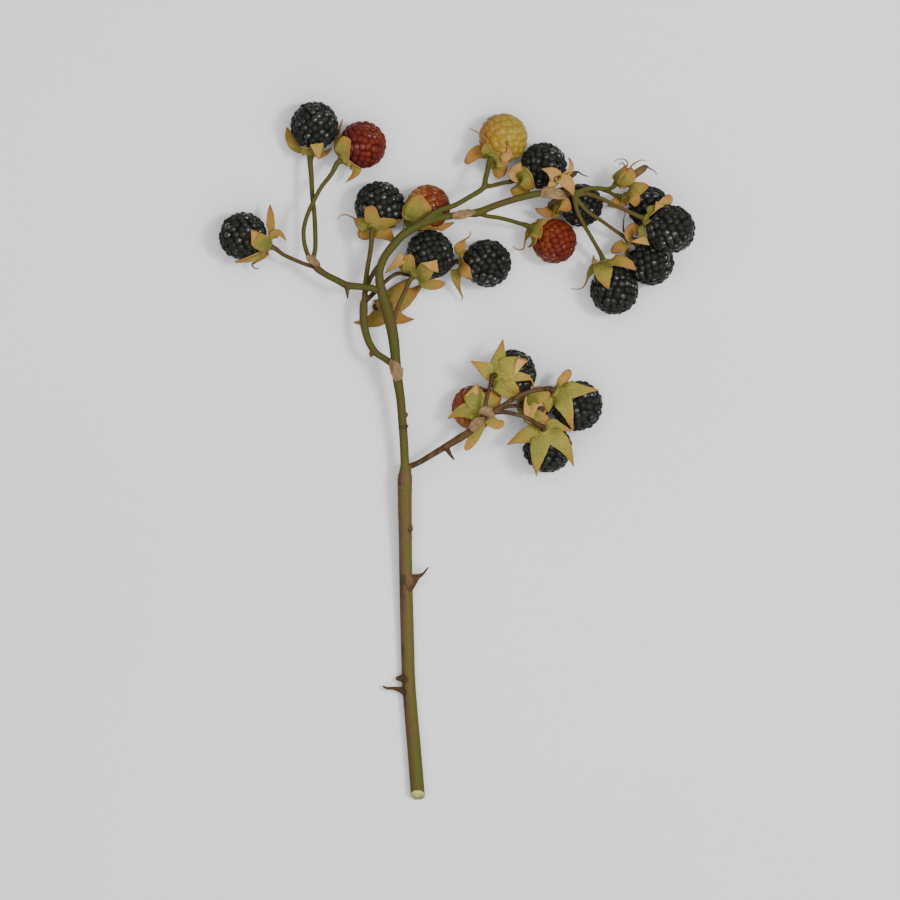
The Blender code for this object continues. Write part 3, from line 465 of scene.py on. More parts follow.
def hub_of(number):
    """Gives the hub of a calyx and the direction from it towards its stem."""
    if number in BARE_HUBS:
        place, stemward = BARE_HUBS[number]
        return at(*place), Vector(stemward).normalized()
    fruit = BERRIES[number]
    centre = berry_centre(number)
    level = at(*fruit.hub, fruit.height) - centre
    reach = fruit.radius + HUB_STAND_OFF
    lift = fruit.hub_lift
    if lift is None:
        lift = math.sqrt(max(0.0, reach ** 2 - level.length ** 2))
    spread = math.sqrt(reach ** 2 - lift ** 2)
    if lift == 0.0:
        spread = max(spread, min(level.length, reach + HUB_SPREAD))
    hub = centre + level.normalized() * spread + UP * lift
    return hub, (hub - centre).normalized()


def turn_frame(side, tangent):
    """Carries a side vector along to a new tangent without twist."""
    return (side - tangent * side.dot(tangent)).normalized()


def bezier(root, bend, tip, share):
    """Gives a point on a curve from root to tip that leaves towards bend."""
    rest = 1.0 - share
    return root * rest ** 2 + bend * 2.0 * rest * share + tip * share ** 2


def ease(part):
    """Gives a share that starts and ends softly."""
    return part * part * (3.0 - 2.0 * part)


def fade(value, start, width):
    """Gives how far a value is past a start, as a share of a width."""
    return min(1.0, max(0.0, (value - start) / width))


def along_profile(profile, share):
    """Reads a profile of shares and values at a share."""
    for (start, low), (end, high) in zip(profile, profile[1:]):
        if share <= end:
            return low + (high - low) * ease((share - start) / (end - start))
    return profile[-1][1]


def stations_of(route):
    """Turns a route of plan places, heights and radii into stations."""
    return [(at(east, south, height), radius) for east, south, height, radius in route]


def pedicel_stations(number):
    """Gives a pedicel, which comes to its hub along the hub's own direction."""
    hub, stemward = hub_of(number)
    route = [(centre, radius * PEDICEL_FULLNESS) for centre, radius in stations_of(PEDICELS[number])]
    slim = route[-1][1]
    return route + [(hub + stemward * reach, slim + swell) for reach, swell in PEDICEL_END]


# Work on objects
def select_only(*objects):
    """Selects objects and nothing else, and makes the first one active."""
    bpy.ops.object.select_all(action="DESELECT")
    for obj in objects:
        obj.select_set(True)
    bpy.context.view_layer.objects.active = objects[0]


def join(objects, name):
    """Joins objects into one with a name of its own."""
    select_only(*objects)
    if len(objects) > 1:
        bpy.ops.object.join()
    joined = bpy.context.view_layer.objects.active
    joined.name = name
    joined.data.name = name
    return joined


def settle(obj):
    """Puts an object's place, turn and scale into its mesh."""
    select_only(obj)
    bpy.ops.object.transform_apply(location=True, rotation=True, scale=True)


def apply_modifiers(obj):
    """Applies every modifier of an object, in order."""
    select_only(obj)
    for modifier in list(obj.modifiers):
        bpy.ops.object.modifier_apply(modifier=modifier.name)


def hand_over(obj, node, slot):
    """Lets a finished piece stand for its node."""
    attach(obj, "root")
    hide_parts(node)


def paint(obj, name, values):
    """Writes one number for each vertex as a named attribute."""
    layer = obj.data.attributes.get(name) or obj.data.attributes.new(name, "FLOAT", "POINT")
    layer.data.foreach_set("value", values)


def paint_all(obj, **values):
    """Writes one number for each named attribute over a whole piece."""
    for name, value in values.items():
        paint(obj, name, [value] * len(obj.data.vertices))


def thicken(sheet, thickness, inner_slot=0):
    """Makes a sheet finer and gives it a thickness, its inner face and rim in a slot of their own."""
    finer = sheet.modifiers.new("finer", "SUBSURF")
    finer.levels = finer.render_levels = 1
    wall = sheet.modifiers.new("wall", "SOLIDIFY")
    wall.thickness = thickness
    wall.offset = 0.0
    wall.material_offset = wall.material_offset_rim = inner_slot
    apply_modifiers(sheet)


# Shader nodes: the colour sockets of a mix, which share their names with others, and the bumps' depth
MIX_FIRST, MIX_SECOND, MIX_RESULT = 6, 7, 2
BUMP_DEPTH = 0.2 * MM


class Tree:
    """Adds nodes to a node tree, each wired as it is added."""

    def __init__(self, tree):
        self.nodes = tree.nodes
        self.links = tree.links

    def add(self, kind, inputs=None, **settings):
        node = self.nodes.new(kind)
        for key, value in settings.items():
            setattr(node, key, value)
        for key, value in (inputs or {}).items():
            self.feed(node.inputs[key], value)
        return node

    def feed(self, socket, value):
        if isinstance(value, bpy.types.NodeSocket):
            self.links.new(value, socket)
        else:
            socket.default_value = value

    def attribute(self, name):
        return self.add("ShaderNodeAttribute", attribute_name=name).outputs["Fac"]

    def noise(self, scale, detail=3.0, stretch=(1.0, 1.0, 1.0)):
        place = self.add("ShaderNodeTexCoord").outputs["Object"]
        mapped = self.add("ShaderNodeMapping", {"Vector": place, "Scale": stretch}).outputs[0]
        made = self.add("ShaderNodeTexNoise", {"Vector": mapped, "Scale": scale, "Detail": detail})
        return made.outputs["Fac"]

    def ramp(self, value, stops):
        node = self.add("ShaderNodeValToRGB", {"Fac": value})
        elements = node.color_ramp.elements
        while len(elements) < len(stops):
            elements.new(0.5)
        for element, (place, colour) in zip(elements, stops):
            element.position = place
            element.color = rgba(colour)
        return node.outputs["Color"]

    def mix(self, factor, first, second, blend="MIX"):
        node = self.add("ShaderNodeMix", data_type="RGBA", blend_type=blend)
        self.feed(node.inputs["Factor"], factor)
        self.feed(node.inputs[MIX_FIRST], first)
        self.feed(node.inputs[MIX_SECOND], second)
        return node.outputs[MIX_RESULT]

    def math(self, operation, first, second=0.0):
        return self.add("ShaderNodeMath", {0: first, 1: second}, operation=operation).outputs[0]

    def span(self, value, low, high, floor=0.0, ceiling=1.0):
        inputs = {"Value": value, "From Min": low, "From Max": high, "To Min": floor, "To Max": ceiling}
        return self.add("ShaderNodeMapRange", inputs).outputs[0]

    def spread(self, value, floor=0.0, ceiling=1.0):
        """Spreads noise, which keeps near its middle, from a floor to a ceiling."""
        return self.span(value, 0.3, 0.7, floor, ceiling)


class Shader(Tree):
    """A material's nodes, round its Principled shader."""

    def __init__(self, name):
        self.material = bpy.data.materials.new(name)
        self.material.use_nodes = True
        super().__init__(self.material.node_tree)
        self.principled = self.nodes["Principled BSDF"]

    def set(self, **values):
        for key, value in values.items():
            self.feed(self.principled.inputs[key.replace("_", " ")], value)

    def effect(self, build, **values):
        group = bpy.data.node_groups.get(build.__name__) or build()
        inputs = {key.replace("_", " "): value for key, value in values.items()}
        return self.add("ShaderNodeGroup", inputs, node_tree=group).outputs[0]

    def bump(self, height, strength):
        inputs = {"Height": height, "Strength": strength, "Distance": BUMP_DEPTH}
        self.set(Normal=self.add("ShaderNodeBump", inputs).outputs["Normal"])


class Effect(Tree):
    """A node group's nodes, with its named inputs and its one output."""

    def __init__(self, name, colours, numbers, output):
        self.group = bpy.data.node_groups.new(name, "ShaderNodeTree")
        sockets = self.group.interface
        for label in colours:
            sockets.new_socket(label, in_out="INPUT", socket_type="NodeSocketColor")
        for label in numbers:
            sockets.new_socket(label, in_out="INPUT", socket_type="NodeSocketFloat")
        kind = "NodeSocketColor" if output == "Colour" else "NodeSocketFloat"
        sockets.new_socket(output, in_out="OUTPUT", socket_type=kind)
        super().__init__(self.group)
        self.given = self.add("NodeGroupInput").outputs
        self.result = self.add("NodeGroupOutput").inputs[output]


def rgba(colour):
    """Gives a colour with full alpha."""
    return (*colour, 1.0)


def darker(colour, share):
    """Gives a colour at a share of its light."""
    return tuple(part * share for part in colour)


def fine_mottle():
    """Lets a colour vary in fine spots from dark to light, at the tone painted on the piece."""
    effect = Effect("fine_mottle", ("Colour", "Dark", "Light"), ("Grain",), "Colour")
    spots = effect.spread(effect.noise(effect.given["Grain"], 4.0))
    tint = effect.mix(spots, effect.given["Dark"], effect.given["Light"])
    spotted = effect.mix(1.0, effect.given["Colour"], tint, "MULTIPLY")
    effect.feed(effect.result, effect.mix(1.0, spotted, effect.attribute("tone"), "MULTIPLY"))
    return effect.group


def sepal_turning():
    """Gives how far a sepal has turned: by its length, its edge, its patches and its dryness."""
    effect = Effect("sepal_turning", (), ("Patches", "Tip", "Edge", "Dryness"), "Turn")
    edge = effect.math("POWER", effect.math("ABSOLUTE", effect.attribute("across")), 3.0)
    tip = effect.math("POWER", effect.attribute("along"), 2.4)
    patch = effect.spread(effect.noise(260.0, 4.0), -1.0, 1.0)
    shares = ((tip, "Tip"), (edge, "Edge"), (patch, "Patches"), (effect.attribute("dryness"), "Dryness"))
    turn = 0.0
    for mask, label in shares:
        turn = effect.math("ADD", turn, effect.math("MULTIPLY", mask, effect.given[label]))
    effect.feed(effect.result, effect.span(turn, 0.0, 2.0))
    return effect.group


def fine_veins():
    """Raises lengthwise veins over a fine grain."""
    effect = Effect("fine_veins", (), ("Veins", "Vein height", "Grain"), "Height")
    vein = effect.math("SINE", effect.math("MULTIPLY", effect.attribute("across"), effect.given["Veins"]))
    vein = effect.math("MULTIPLY", vein, effect.given["Vein height"])
    effect.feed(effect.result, effect.math("ADD", vein, effect.noise(effect.given["Grain"], 4.0)))
    return effect.group


def berry_skin(settings):
    """Glossy drupelet skin, coloured by ripeness from yellow through red to black, with painted shade that
    darkens each drupelet towards its foot and the core between them.
    """
    skin = Shader("berry_skin")
    ripeness = skin.attribute("ripeness")
    mottle = skin.spread(skin.noise(600.0), -0.06, 0.06)
    stops = [(0.0, settings.yellow), (0.28, (0.23, 0.09, 0.015)), (0.46, (0.125, 0.026, 0.007)),
             (0.66, settings.red), (0.85, (0.03, 0.006, 0.008)), (0.95, settings.black)]
    colour = skin.ramp(skin.math("ADD", ripeness, mottle), stops)
    # Painted shade: darker towards each drupelet's foot and on the core, read from the height painted as
    # crease, less so on unripe berries
    crevice_shade = skin.ramp(ripeness, [(0.0, (0.88, 0.8, 0.7)), (0.5, (0.7, 0.6, 0.55)), (1.0, (0.4, 0.35, 0.35))])
    shade = skin.mix(skin.span(skin.attribute("crease"), 0.0, 0.6), crevice_shade, rgba((1.0, 1.0, 1.0)))
    rough = skin.spread(skin.noise(1500.0), 0.32, 0.5)
    skin.set(Base_Color=skin.mix(1.0, colour, shade, "MULTIPLY"), Roughness=rough, Specular_IOR_Level=0.06,
             Coat_Weight=skin.attribute("gloss"), Coat_Roughness=0.06)
    skin.bump(skin.noise(2600.0), 0.12)
    return skin.material


def leaf_face(face, base, mottle, veins, gloss):
    """Finishes a face of a sepal or bract: mottled, veined and with little gloss."""
    dark, light, grain = mottle
    count, height, fineness = veins
    rough, specular = gloss
    colour = face.effect(fine_mottle, Colour=base, Dark=rgba(dark), Light=rgba(light), Grain=grain)
    face.set(Base_Color=colour, Roughness=rough, Specular_IOR_Level=specular)
    face.bump(face.effect(fine_veins, Veins=count, Vein_height=height, Grain=fineness), 0.5)
    return face.material


def sepal_outer(settings):
    """Olive outer face of a sepal, with veins, that turns orange and then brown."""
    face = Shader("sepal_outer")
    turn = face.effect(sepal_turning, Patches=0.22, Tip=0.75, Edge=0.2, Dryness=1.2)
    base = face.ramp(turn, [(0.02, settings.green), (0.18, settings.olive), (0.38, settings.orange),
                            (0.55, (0.225, 0.12, 0.038)), (0.75, (0.13, 0.065, 0.026)),
                            (0.95, (0.045, 0.022, 0.013))])
    mottle = ((0.78, 0.78, 0.76), (1.1, 1.1, 1.06), 1400.0)
    return leaf_face(face, base, mottle, (15.0, 0.35, 1800.0), (0.75, 0.15))


def sepal_inner(settings):
    """Pale tan, downy inner face of a sepal."""
    face = Shader("sepal_inner")
    turn = face.effect(sepal_turning, Patches=0.22, Tip=0.75, Edge=0.2, Dryness=1.2)
    base = face.ramp(turn, [(0.0, (0.26, 0.2, 0.05)), (0.25, settings.tan), (0.5, (0.29, 0.155, 0.048)),
                            (0.75, (0.15, 0.075, 0.03)), (0.95, (0.06, 0.03, 0.018))])
    mottle = ((0.82, 0.8, 0.76), (1.05, 1.04, 1.0), 2200.0)
    return leaf_face(face, base, mottle, (15.0, 0.1, 2600.0), (0.85, 0.1))


def bract_paper(settings):
    """Dry papery bract with fine lengthwise veins."""
    face = Shader("bract_paper")
    blotch = face.ramp(face.noise(420.0, 5.0), [(0.3, (0.72, 0.65, 0.58)), (0.68, (1.3, 1.27, 1.3))])
    base = face.mix(1.0, rgba(settings.paper), blotch, "MULTIPLY")
    mottle = ((0.9, 0.88, 0.85), (1.08, 1.08, 1.08), 2000.0)
    return leaf_face(face, base, mottle, (22.0, 0.4, 1500.0), (0.75, 0.15))


def stem_bark(settings):
    """Smooth bark, green on its lit side and brown where it has aged and where shade is painted on its
    edges and far side.
    """
    bark = Shader("stem_bark")
    streak = bark.noise(500.0, 4.0, (1.0, 0.08, 1.0))
    # The painted brown carries real browning and painted shade on the bark's edges and far side
    turn = bark.math("ADD", bark.attribute("brown"), bark.spread(streak, -0.25, 0.25))
    base = bark.ramp(turn, [(0.1, settings.green), (0.45, (0.083, 0.062, 0.018)), (0.8, settings.brown),
                            (1.0, (0.052, 0.03, 0.014))])
    colour = bark.effect(fine_mottle, Colour=base, Dark=rgba((0.75, 0.74, 0.7)),
                         Light=rgba((1.12, 1.1, 1.05)), Grain=2200.0)
    rough = bark.spread(streak, 0.5, 0.65)
    bark.set(Base_Color=colour, Roughness=rough, Specular_IOR_Level=0.06)
    fleck = bark.noise(2200.0, 3.0, (1.0, 0.4, 1.0))
    bark.bump(bark.math("ADD", streak, bark.math("MULTIPLY", fleck, 0.5)), 0.5)
    return bark.material


def cut_wood(settings):
    """Pale fresh wood of the cut end, with a softer pith."""
    wood = Shader("cut_wood")
    rings = [(0.0, (0.86, 0.88, 0.48)), (0.35, settings.pith), (0.8, (0.55, 0.6, 0.24)),
             (1.0, (0.3, 0.32, 0.08))]
    grain = wood.spread(wood.noise(900.0, 4.0), -0.22, 0.22)
    base = wood.ramp(wood.math("ADD", wood.attribute("ring"), grain), rings)
    wood.set(Base_Color=base, Roughness=0.7)
    wood.bump(wood.noise(2400.0), 0.8)
    return wood.material


# Berries: the ripeness below which they are red and pale, the usual and the small radius, how the
# drupelets change with both, the gap at the stalk, how far out of true they are and their coats
RIPE = 0.9
PALE = 0.3
USUAL_RADIUS = 8.6
SMALL_RADIUS = 7.0
COUNT_GROWTH = 1.7
UNRIPE_CROWDING = 1.15
UNRIPE_SHINE = 0.5
SMALL_SHARE = 0.85
PALE_SHARE = 0.9
CORE_DEPTH = 0.75
PALE_CORE_DEPTH = 0.5
STALK_GAP = 0.94
JITTER = 0.06
SPARKLE = (0.8, 0.35, 0.15, 0.05, 0.0, 0.0)


def even_directions(count, seed, jitter):
    """Gives even directions by the golden spiral, a little out of true."""
    draw = random.Random(seed)
    golden_turn = math.pi * (3.0 - math.sqrt(5.0))
    start = draw.uniform(0.0, math.tau)
    for index in range(count):
        height = 1.0 - (2.0 * index + 1.0) / count
        level = math.sqrt(1.0 - height ** 2)
        turn = start + golden_turn * index
        place = Vector((level * math.cos(turn), level * math.sin(turn), height))
        nudge = Vector([draw.uniform(-jitter, jitter) for _ in range(3)])
        yield (place + nudge).normalized()


def drupelet_pattern():
    """Models one drupelet: the upper part of a ball with an open foot."""
    bpy.ops.object.select_all(action="DESELECT")
    bpy.ops.mesh.primitive_uv_sphere_add(segments=10, ring_count=8, radius=1.0)
    bpy.ops.object.mode_set(mode="EDIT")
    bpy.ops.mesh.select_all(action="SELECT")
    bpy.ops.mesh.bisect(plane_co=(0, 0, 0.0), plane_no=(0, 0, 1), clear_inner=True, use_fill=False)
    bpy.ops.object.mode_set(mode="OBJECT")
    bpy.ops.object.shade_smooth()
    pattern = bpy.context.active_object
    # The height over the drupelet's foot, which the skin turns into painted shade in the crevices
    paint(pattern, "crease", [max(0.0, vertex.co.z) for vertex in pattern.data.vertices])
    return pattern


def relief_of(fruit):
    """Gives how far drupelets stand out: fully on a ripe berry, less on an unripe one."""
    return 1.0 if fruit.ripeness > RIPE else 0.4 + 0.45 * fruit.ripeness


def make_core(fruit, centre, radius):
    """Makes the body under the drupelets."""
    bpy.ops.object.select_all(action="DESELECT")
    bpy.ops.mesh.primitive_ico_sphere_add(subdivisions=3, location=centre, radius=radius)
    core = bpy.context.active_object
    bpy.ops.object.shade_smooth()
    # The core shows only in the crevices and takes the skin's full painted shade there
    paint_all(core, crease=0.0, ripeness=fruit.ripeness, gloss=0.0)
    return core


def copy_drupelet(pattern, foot, away, width, height, ripeness, gloss):
    """Sets one more drupelet on a berry."""
    copy = pattern.copy()
    copy.data = pattern.data.copy()
    bpy.context.scene.collection.objects.link(copy)
    copy.location = foot
    copy.rotation_mode = "QUATERNION"
    copy.rotation_quaternion = away.to_track_quat("Z", "Y")
    copy.scale = (width, width, height)
    paint_all(copy, ripeness=ripeness, gloss=gloss)
    return copy


def make_berry(number, pattern, skin, settings):
    """Makes a berry: a body covered by copies of the drupelet."""
    fruit = BERRIES[number]
    centre = berry_centre(number) * MM
    _, stemward = hub_of(number)
    radius = (fruit.radius + BERRY_FULLNESS) * MM
    draw = random.Random(number * 7)
    height = settings.drupelet_height * relief_of(fruit)
    width = settings.drupelet_radius * (SMALL_SHARE if fruit.radius < SMALL_RADIUS else 1.0)
    count = round(settings.drupelets * (fruit.radius / USUAL_RADIUS) ** COUNT_GROWTH)
    sunk, shine = CORE_DEPTH, 1.0
    if fruit.ripeness < RIPE:
        count = round(count * UNRIPE_CROWDING)
        shine = UNRIPE_SHINE
    if fruit.ripeness < PALE:
        width *= PALE_SHARE
        sunk = PALE_CORE_DEPTH
    turn = stemward.to_track_quat("Z", "Y")
    pieces = [make_core(fruit, centre, radius - height * sunk)]
    for place in even_directions(count, number, JITTER):
        if place.z > STALK_GAP:
            continue
        away = turn @ place
        size = draw.uniform(0.9, 1.08)
        foot = centre + away * (radius - height * draw.uniform(0.96, 1.12))
        ripe = fruit.ripeness
        if ripe < RIPE:
            ripe += fruit.drift * away.dot(fruit.toward) + draw.uniform(-0.04, 0.04)
        gloss = shine * draw.choice(SPARKLE)
        pieces.append(copy_drupelet(pattern, foot, away, width * size, height, max(0.0, ripe), gloss))
    select_only(*pieces)
    bpy.ops.object.transform_apply(location=True, rotation=True, scale=True)
    body = join(pieces, f"fruit_{number:02d}")
    for vertex in body.data.vertices:
        vertex.co.z = max(vertex.co.z, 0.0)
    body.data.materials.clear()
    body.data.materials.append(skin)
    return body


# The finish of each berry, up to a ripeness
SLOTS = ((PALE, "berry_yellow"), (0.55, "berry_turning"), (RIPE, "berry_red"), (1.01, "berry_black"))


def berry_slot(ripeness):
    """Names the finish of a berry by its ripeness."""
    return next(slot for limit, slot in SLOTS if ripeness < limit)


class SPRIG_OT_berries(bpy.types.Operator):
    """Model the berries, each a core covered by drupelets"""
    bl_idname = "sprig.berries"
    bl_label = "Berries"

    def execute(self, context):
        settings = context.scene.sprig_berries
        skin = berry_skin(settings)
        pattern = drupelet_pattern()
        for number, fruit in BERRIES.items():
            body = make_berry(number, pattern, skin, settings)
            hand_over(body, f"berry_{number:02d}", berry_slot(fruit.ripeness))
        bpy.data.objects.remove(pattern, do_unlink=True)
        return {"FINISHED"}


# Stems
def smooth_route(stations, step=1.2):
    """Reads points at even steps from a smooth curve through the stations."""
    centres = [centre for centre, _ in stations]
    radii = [radius for _, radius in stations]
    last = len(centres) - 1
    route = []
    for index in range(last):
        before, start = centres[max(index - 1, 0)], centres[index]
        end, after = centres[index + 1], centres[min(index + 2, last)]
        pieces = max(1, round((end - start).length / step))
        for part in range(pieces):
            share = part / pieces
            leave = (end - before) * 0.5
            arrive = (after - start) * 0.5
            a = 2 * share ** 3 - 3 * share ** 2 + 1
            b = share ** 3 - 2 * share ** 2 + share
            c = -2 * share ** 3 + 3 * share ** 2
            d = share ** 3 - share ** 2
            radius = radii[index] * a + radii[index + 1] * c
            route.append((start * a + leave * b + end * c + arrive * d, radius))
    route.append((centres[last], radii[last]))
    return route


def tube(stations, step=1.2, sides=4):
    """Makes a round tube with closed ends along stations."""
    route = smooth_route(stations, step)
    data = bpy.data.curves.new("tube", "CURVE")
    data.dimensions = "3D"
    data.bevel_depth = MM
    data.bevel_resolution = sides
    data.use_fill_caps = True
    spline = data.splines.new("POLY")
    spline.points.add(len(route) - 1)
    for point, (centre, radius) in zip(spline.points, route):
        point.co = (*(centre * MM), 1.0)
        point.radius = radius
    obj = bpy.data.objects.new("tube", data)
    bpy.context.scene.collection.objects.link(obj)
    select_only(obj)
    bpy.ops.object.convert(target="MESH")
    return bpy.context.view_layer.objects.active


def stem_runs(name):
    """Gives each run of a node's stems, joined on to what carries it, with how brown it is."""
    node = STEM_NODES[name]
    runs = [(stations_of(route), node.brown) for route in node.routes]
    if name in JOINS:
        runs[0][0].insert(0, stations_of([JOINS[name]])[0])
    runs += [(pedicel_stations(number), PEDICEL_BROWN[number]) for number in node.pedicels]
    runs += [(stations_of(route), node.brown + PRICKLE_BROWN) for route in PRICKLES.get(name, [])]
    runs += [(stations_of(route), node.brown + BUMP_BROWN) for route in BUMPS.get(name, [])]
    return runs


def make_stem(name, bark, wood):
    """Makes the stems of one node as one smooth skin."""
    runs = stem_runs(name)
    if name == "cane":
        stations = runs[0][0]
        centre, radius = stations[0]
        stations[0] = (centre + (centre - stations[1][0]).normalized() * CUT_SPARE, radius)
    full = [[(centre, radius + SKIN_LOSS) for centre, radius in stations] for stations, _ in runs]
    body = join([tube(stations) for stations in full], name + "_bark")
    skin = body.modifiers.new("skin", "REMESH")
    skin.mode = "VOXEL"
    skin.voxel_size = STEM_NODES[name].voxel * MM
    smooth = body.modifiers.new("smooth", "SMOOTH")
    smooth.iterations = 3
    apply_modifiers(body)
    body.data.materials.clear()
    body.data.materials.append(bark)
    body.data.materials.append(wood)
    if name == "cane":
        trim_cut_end(body)
    bpy.ops.object.shade_smooth()
    brown_bark(body, runs)
    return body


def trim_cut_end(body):
    """Cuts the cane's lower end off on a slant that faces up, and shows its wood."""
    end = at(*CUT_PLACE) * MM
    normal = Vector((0.0, 1.0, -CUT_SLANT)).normalized()
    select_only(body)
    bpy.ops.object.mode_set(mode="EDIT")
    bpy.ops.mesh.select_all(action="SELECT")
    bpy.ops.mesh.bisect(plane_co=end, plane_no=normal, clear_inner=True, use_fill=True)
    bpy.ops.object.mode_set(mode="OBJECT")
    for face in body.data.polygons:
        if abs(face.normal.dot(normal)) > CUT_FLATNESS and (face.center - end).length < CUT_REACH * MM:
            face.material_index = 1


# Where the bark changes down the cane: start and width, in metres below the sprig's middle, of the
# browner stretch, of the greener foot and of the change to lighter bark
BROWNING = (0.0, 0.03)
FOOT = (0.065, 0.04)
LIGHTENING = (-0.01, 0.02)


def brown_bark(body, runs):
    """Paints how brown the bark is, by run and patch, with painted shade that browns its steep edges and
    the side away from the light.
    """
    places = [(centre, brown) for stations, brown in runs for centre, _ in smooth_route(stations)]
    tree = KDTree(len(places))
    for index, (centre, _) in enumerate(places):
        tree.insert(centre * MM, index)
    tree.balance()
    end = at(*CUT_PLACE) * MM
    browns_and_shade, rings, tones = [], [], []
    for vertex in body.data.vertices:
        place = vertex.co
        brown = places[tree.find(place)[1]][1]
        patch = noise.noise(place * 90.0) * 0.3 + noise.noise(place * 400.0) * 0.12
        low = fade(-place.y, *BROWNING)
        foot = fade(-place.y, *FOOT)
        # Painted shade: bark is browner on steep faces, which are the tube's edges seen from above, and on
        # the side facing away from the key light
        edge_shade = 1.0 - abs(vertex.normal.z)
        side = vertex.normal.x * (0.1 + 0.3 * low)
        browns_and_shade.append(brown - 0.14 + patch + 0.34 * low - 0.2 * foot + 0.2 * edge_shade - side)
        rings.append(min(1.0, (place - end).length / (2.5 * MM)))
        tones.append(0.75 + 0.25 * fade(-place.y, *LIGHTENING) - 0.12 * foot)
    paint(body, "brown", browns_and_shade)
    paint(body, "ring", rings)
    paint(body, "tone", tones)


class SPRIG_OT_stems(bpy.types.Operator):
    """Model the cane and the sprays' stems"""
    bl_idname = "sprig.stems"
    bl_label = "Cane and stems"

    def execute(self, context):
        settings = context.scene.sprig_stems
        bark = stem_bark(settings)
        wood = cut_wood(settings)
        for name in STEM_NODES:
            hand_over(make_stem(name, bark, wood), name, "stems")
        return {"FINISHED"}


# Blades
def obstacle_segments():
    """Gives every stretch of every stem as two ends and a radius."""
    runs = [stations_of(route) for node in STEM_NODES.values() for route in node.routes]
    runs += [pedicel_stations(number) for number in PEDICELS]
    return [(a[0], b[0], max(a[1], b[1])) for run in runs for a, b in zip(run, run[1:])]


def push_from(point, heart, reach):
    """Moves a point straight out until it is at least reach from the heart."""
    away = point - heart
    return heart + away.normalized() * reach if away.length < reach else point


def nearest_on(start, end, point):
    """Gives the nearest point of a stretch."""
    run = end - start
    share = (point - start).dot(run) / run.length_squared
    return start + run * min(1.0, max(0.0, share))


# How far off obstacles count, and how far blades keep from stems and from berries
OBSTACLE_REACH = 17.0
CLEARANCE = 0.25
BERRY_CLEARANCE = 0.55


def near_obstacles(hub, segments):
    """Picks the berries and stems near a hub."""
    fruits = [(berry_centre(number), fruit.radius) for number, fruit in BERRIES.items()]
    fruits = [fruit for fruit in fruits if (fruit[0] - hub).length < OBSTACLE_REACH + fruit[1]]
    stems = [run for run in segments if (nearest_on(*run[:2], hub) - hub).length < OBSTACLE_REACH]
    return fruits, stems


def keep_clear(point, obstacles):
    """Moves a blade's point clear of berries, stems and the surface below."""
    fruits, stems = obstacles
    for _ in range(3):
        for centre, radius in fruits:
            point = push_from(point, centre, radius + BERRY_CLEARANCE)
        for start, end, radius in stems:
            point = push_from(point, nearest_on(start, end, point), radius + CLEARANCE)
        point.z = max(point.z, CLEARANCE)
    return point


# Outlines of sepals: how wide they are along their length, as shares
OUTLINES = {
    "lance": ((0.0, 0.9), (0.2, 1.0), (0.42, 0.88), (0.62, 0.64), (0.82, 0.34), (0.93, 0.14), (1.0, 0.03)),
    "blunt": ((0.0, 0.85), (0.25, 1.0), (0.6, 0.95), (0.82, 0.78), (0.94, 0.5), (1.0, 0.22)),
    "square": ((0.0, 0.9), (0.3, 1.0), (0.75, 0.86), (0.93, 0.72), (1.0, 0.5)),
    "ovate": ((0.0, 0.6), (0.2, 0.84), (0.48, 1.0), (0.7, 0.8), (0.88, 0.42), (1.0, 0.05)),
}

# How a blade leaves its root and turns up or down, and how far its end lifts and turns at a fold
ROOT_RADIUS = 1.1
BEND_SHARE = 0.55
FACING_STRENGTH = 0.88
FACING_SHARE = 0.35
SHORT_STEP = 0.02
FOLD_LIFT = 0.5
FOLD_BEFORE = 0.18
FOLD_AFTER = 0.4
FOLD_TAPER = 0.8

# The grid of a sepal, its thin curled end, and how deep it is cupped, ribbed and waved
ROWS = 18
COLUMNS = 6
BLADE_FULLNESS = 1.1
TAIL_RADIUS = 0.36
TAIL_SHARE = 0.9
CUP_DEPTH = 0.1
RIB_HEIGHT = 0.12
RIPPLE_HEIGHT = 0.06


def grid(rows, columns):
    """Adds a flat grid to shape into a blade, its rows along Y."""
    bpy.ops.object.select_all(action="DESELECT")
    bpy.ops.mesh.primitive_grid_add(x_subdivisions=columns, y_subdivisions=rows, size=2.0)
    return bpy.context.active_object


def attach_angles(bearings):
    """Gives five even bearings that fit the sorted bearings of the tips."""
    even = math.tau / len(bearings)
    phase = sum(bearing - even * index for index, bearing in enumerate(bearings)) / len(bearings)
    return [phase + even * index for index in range(len(bearings))]


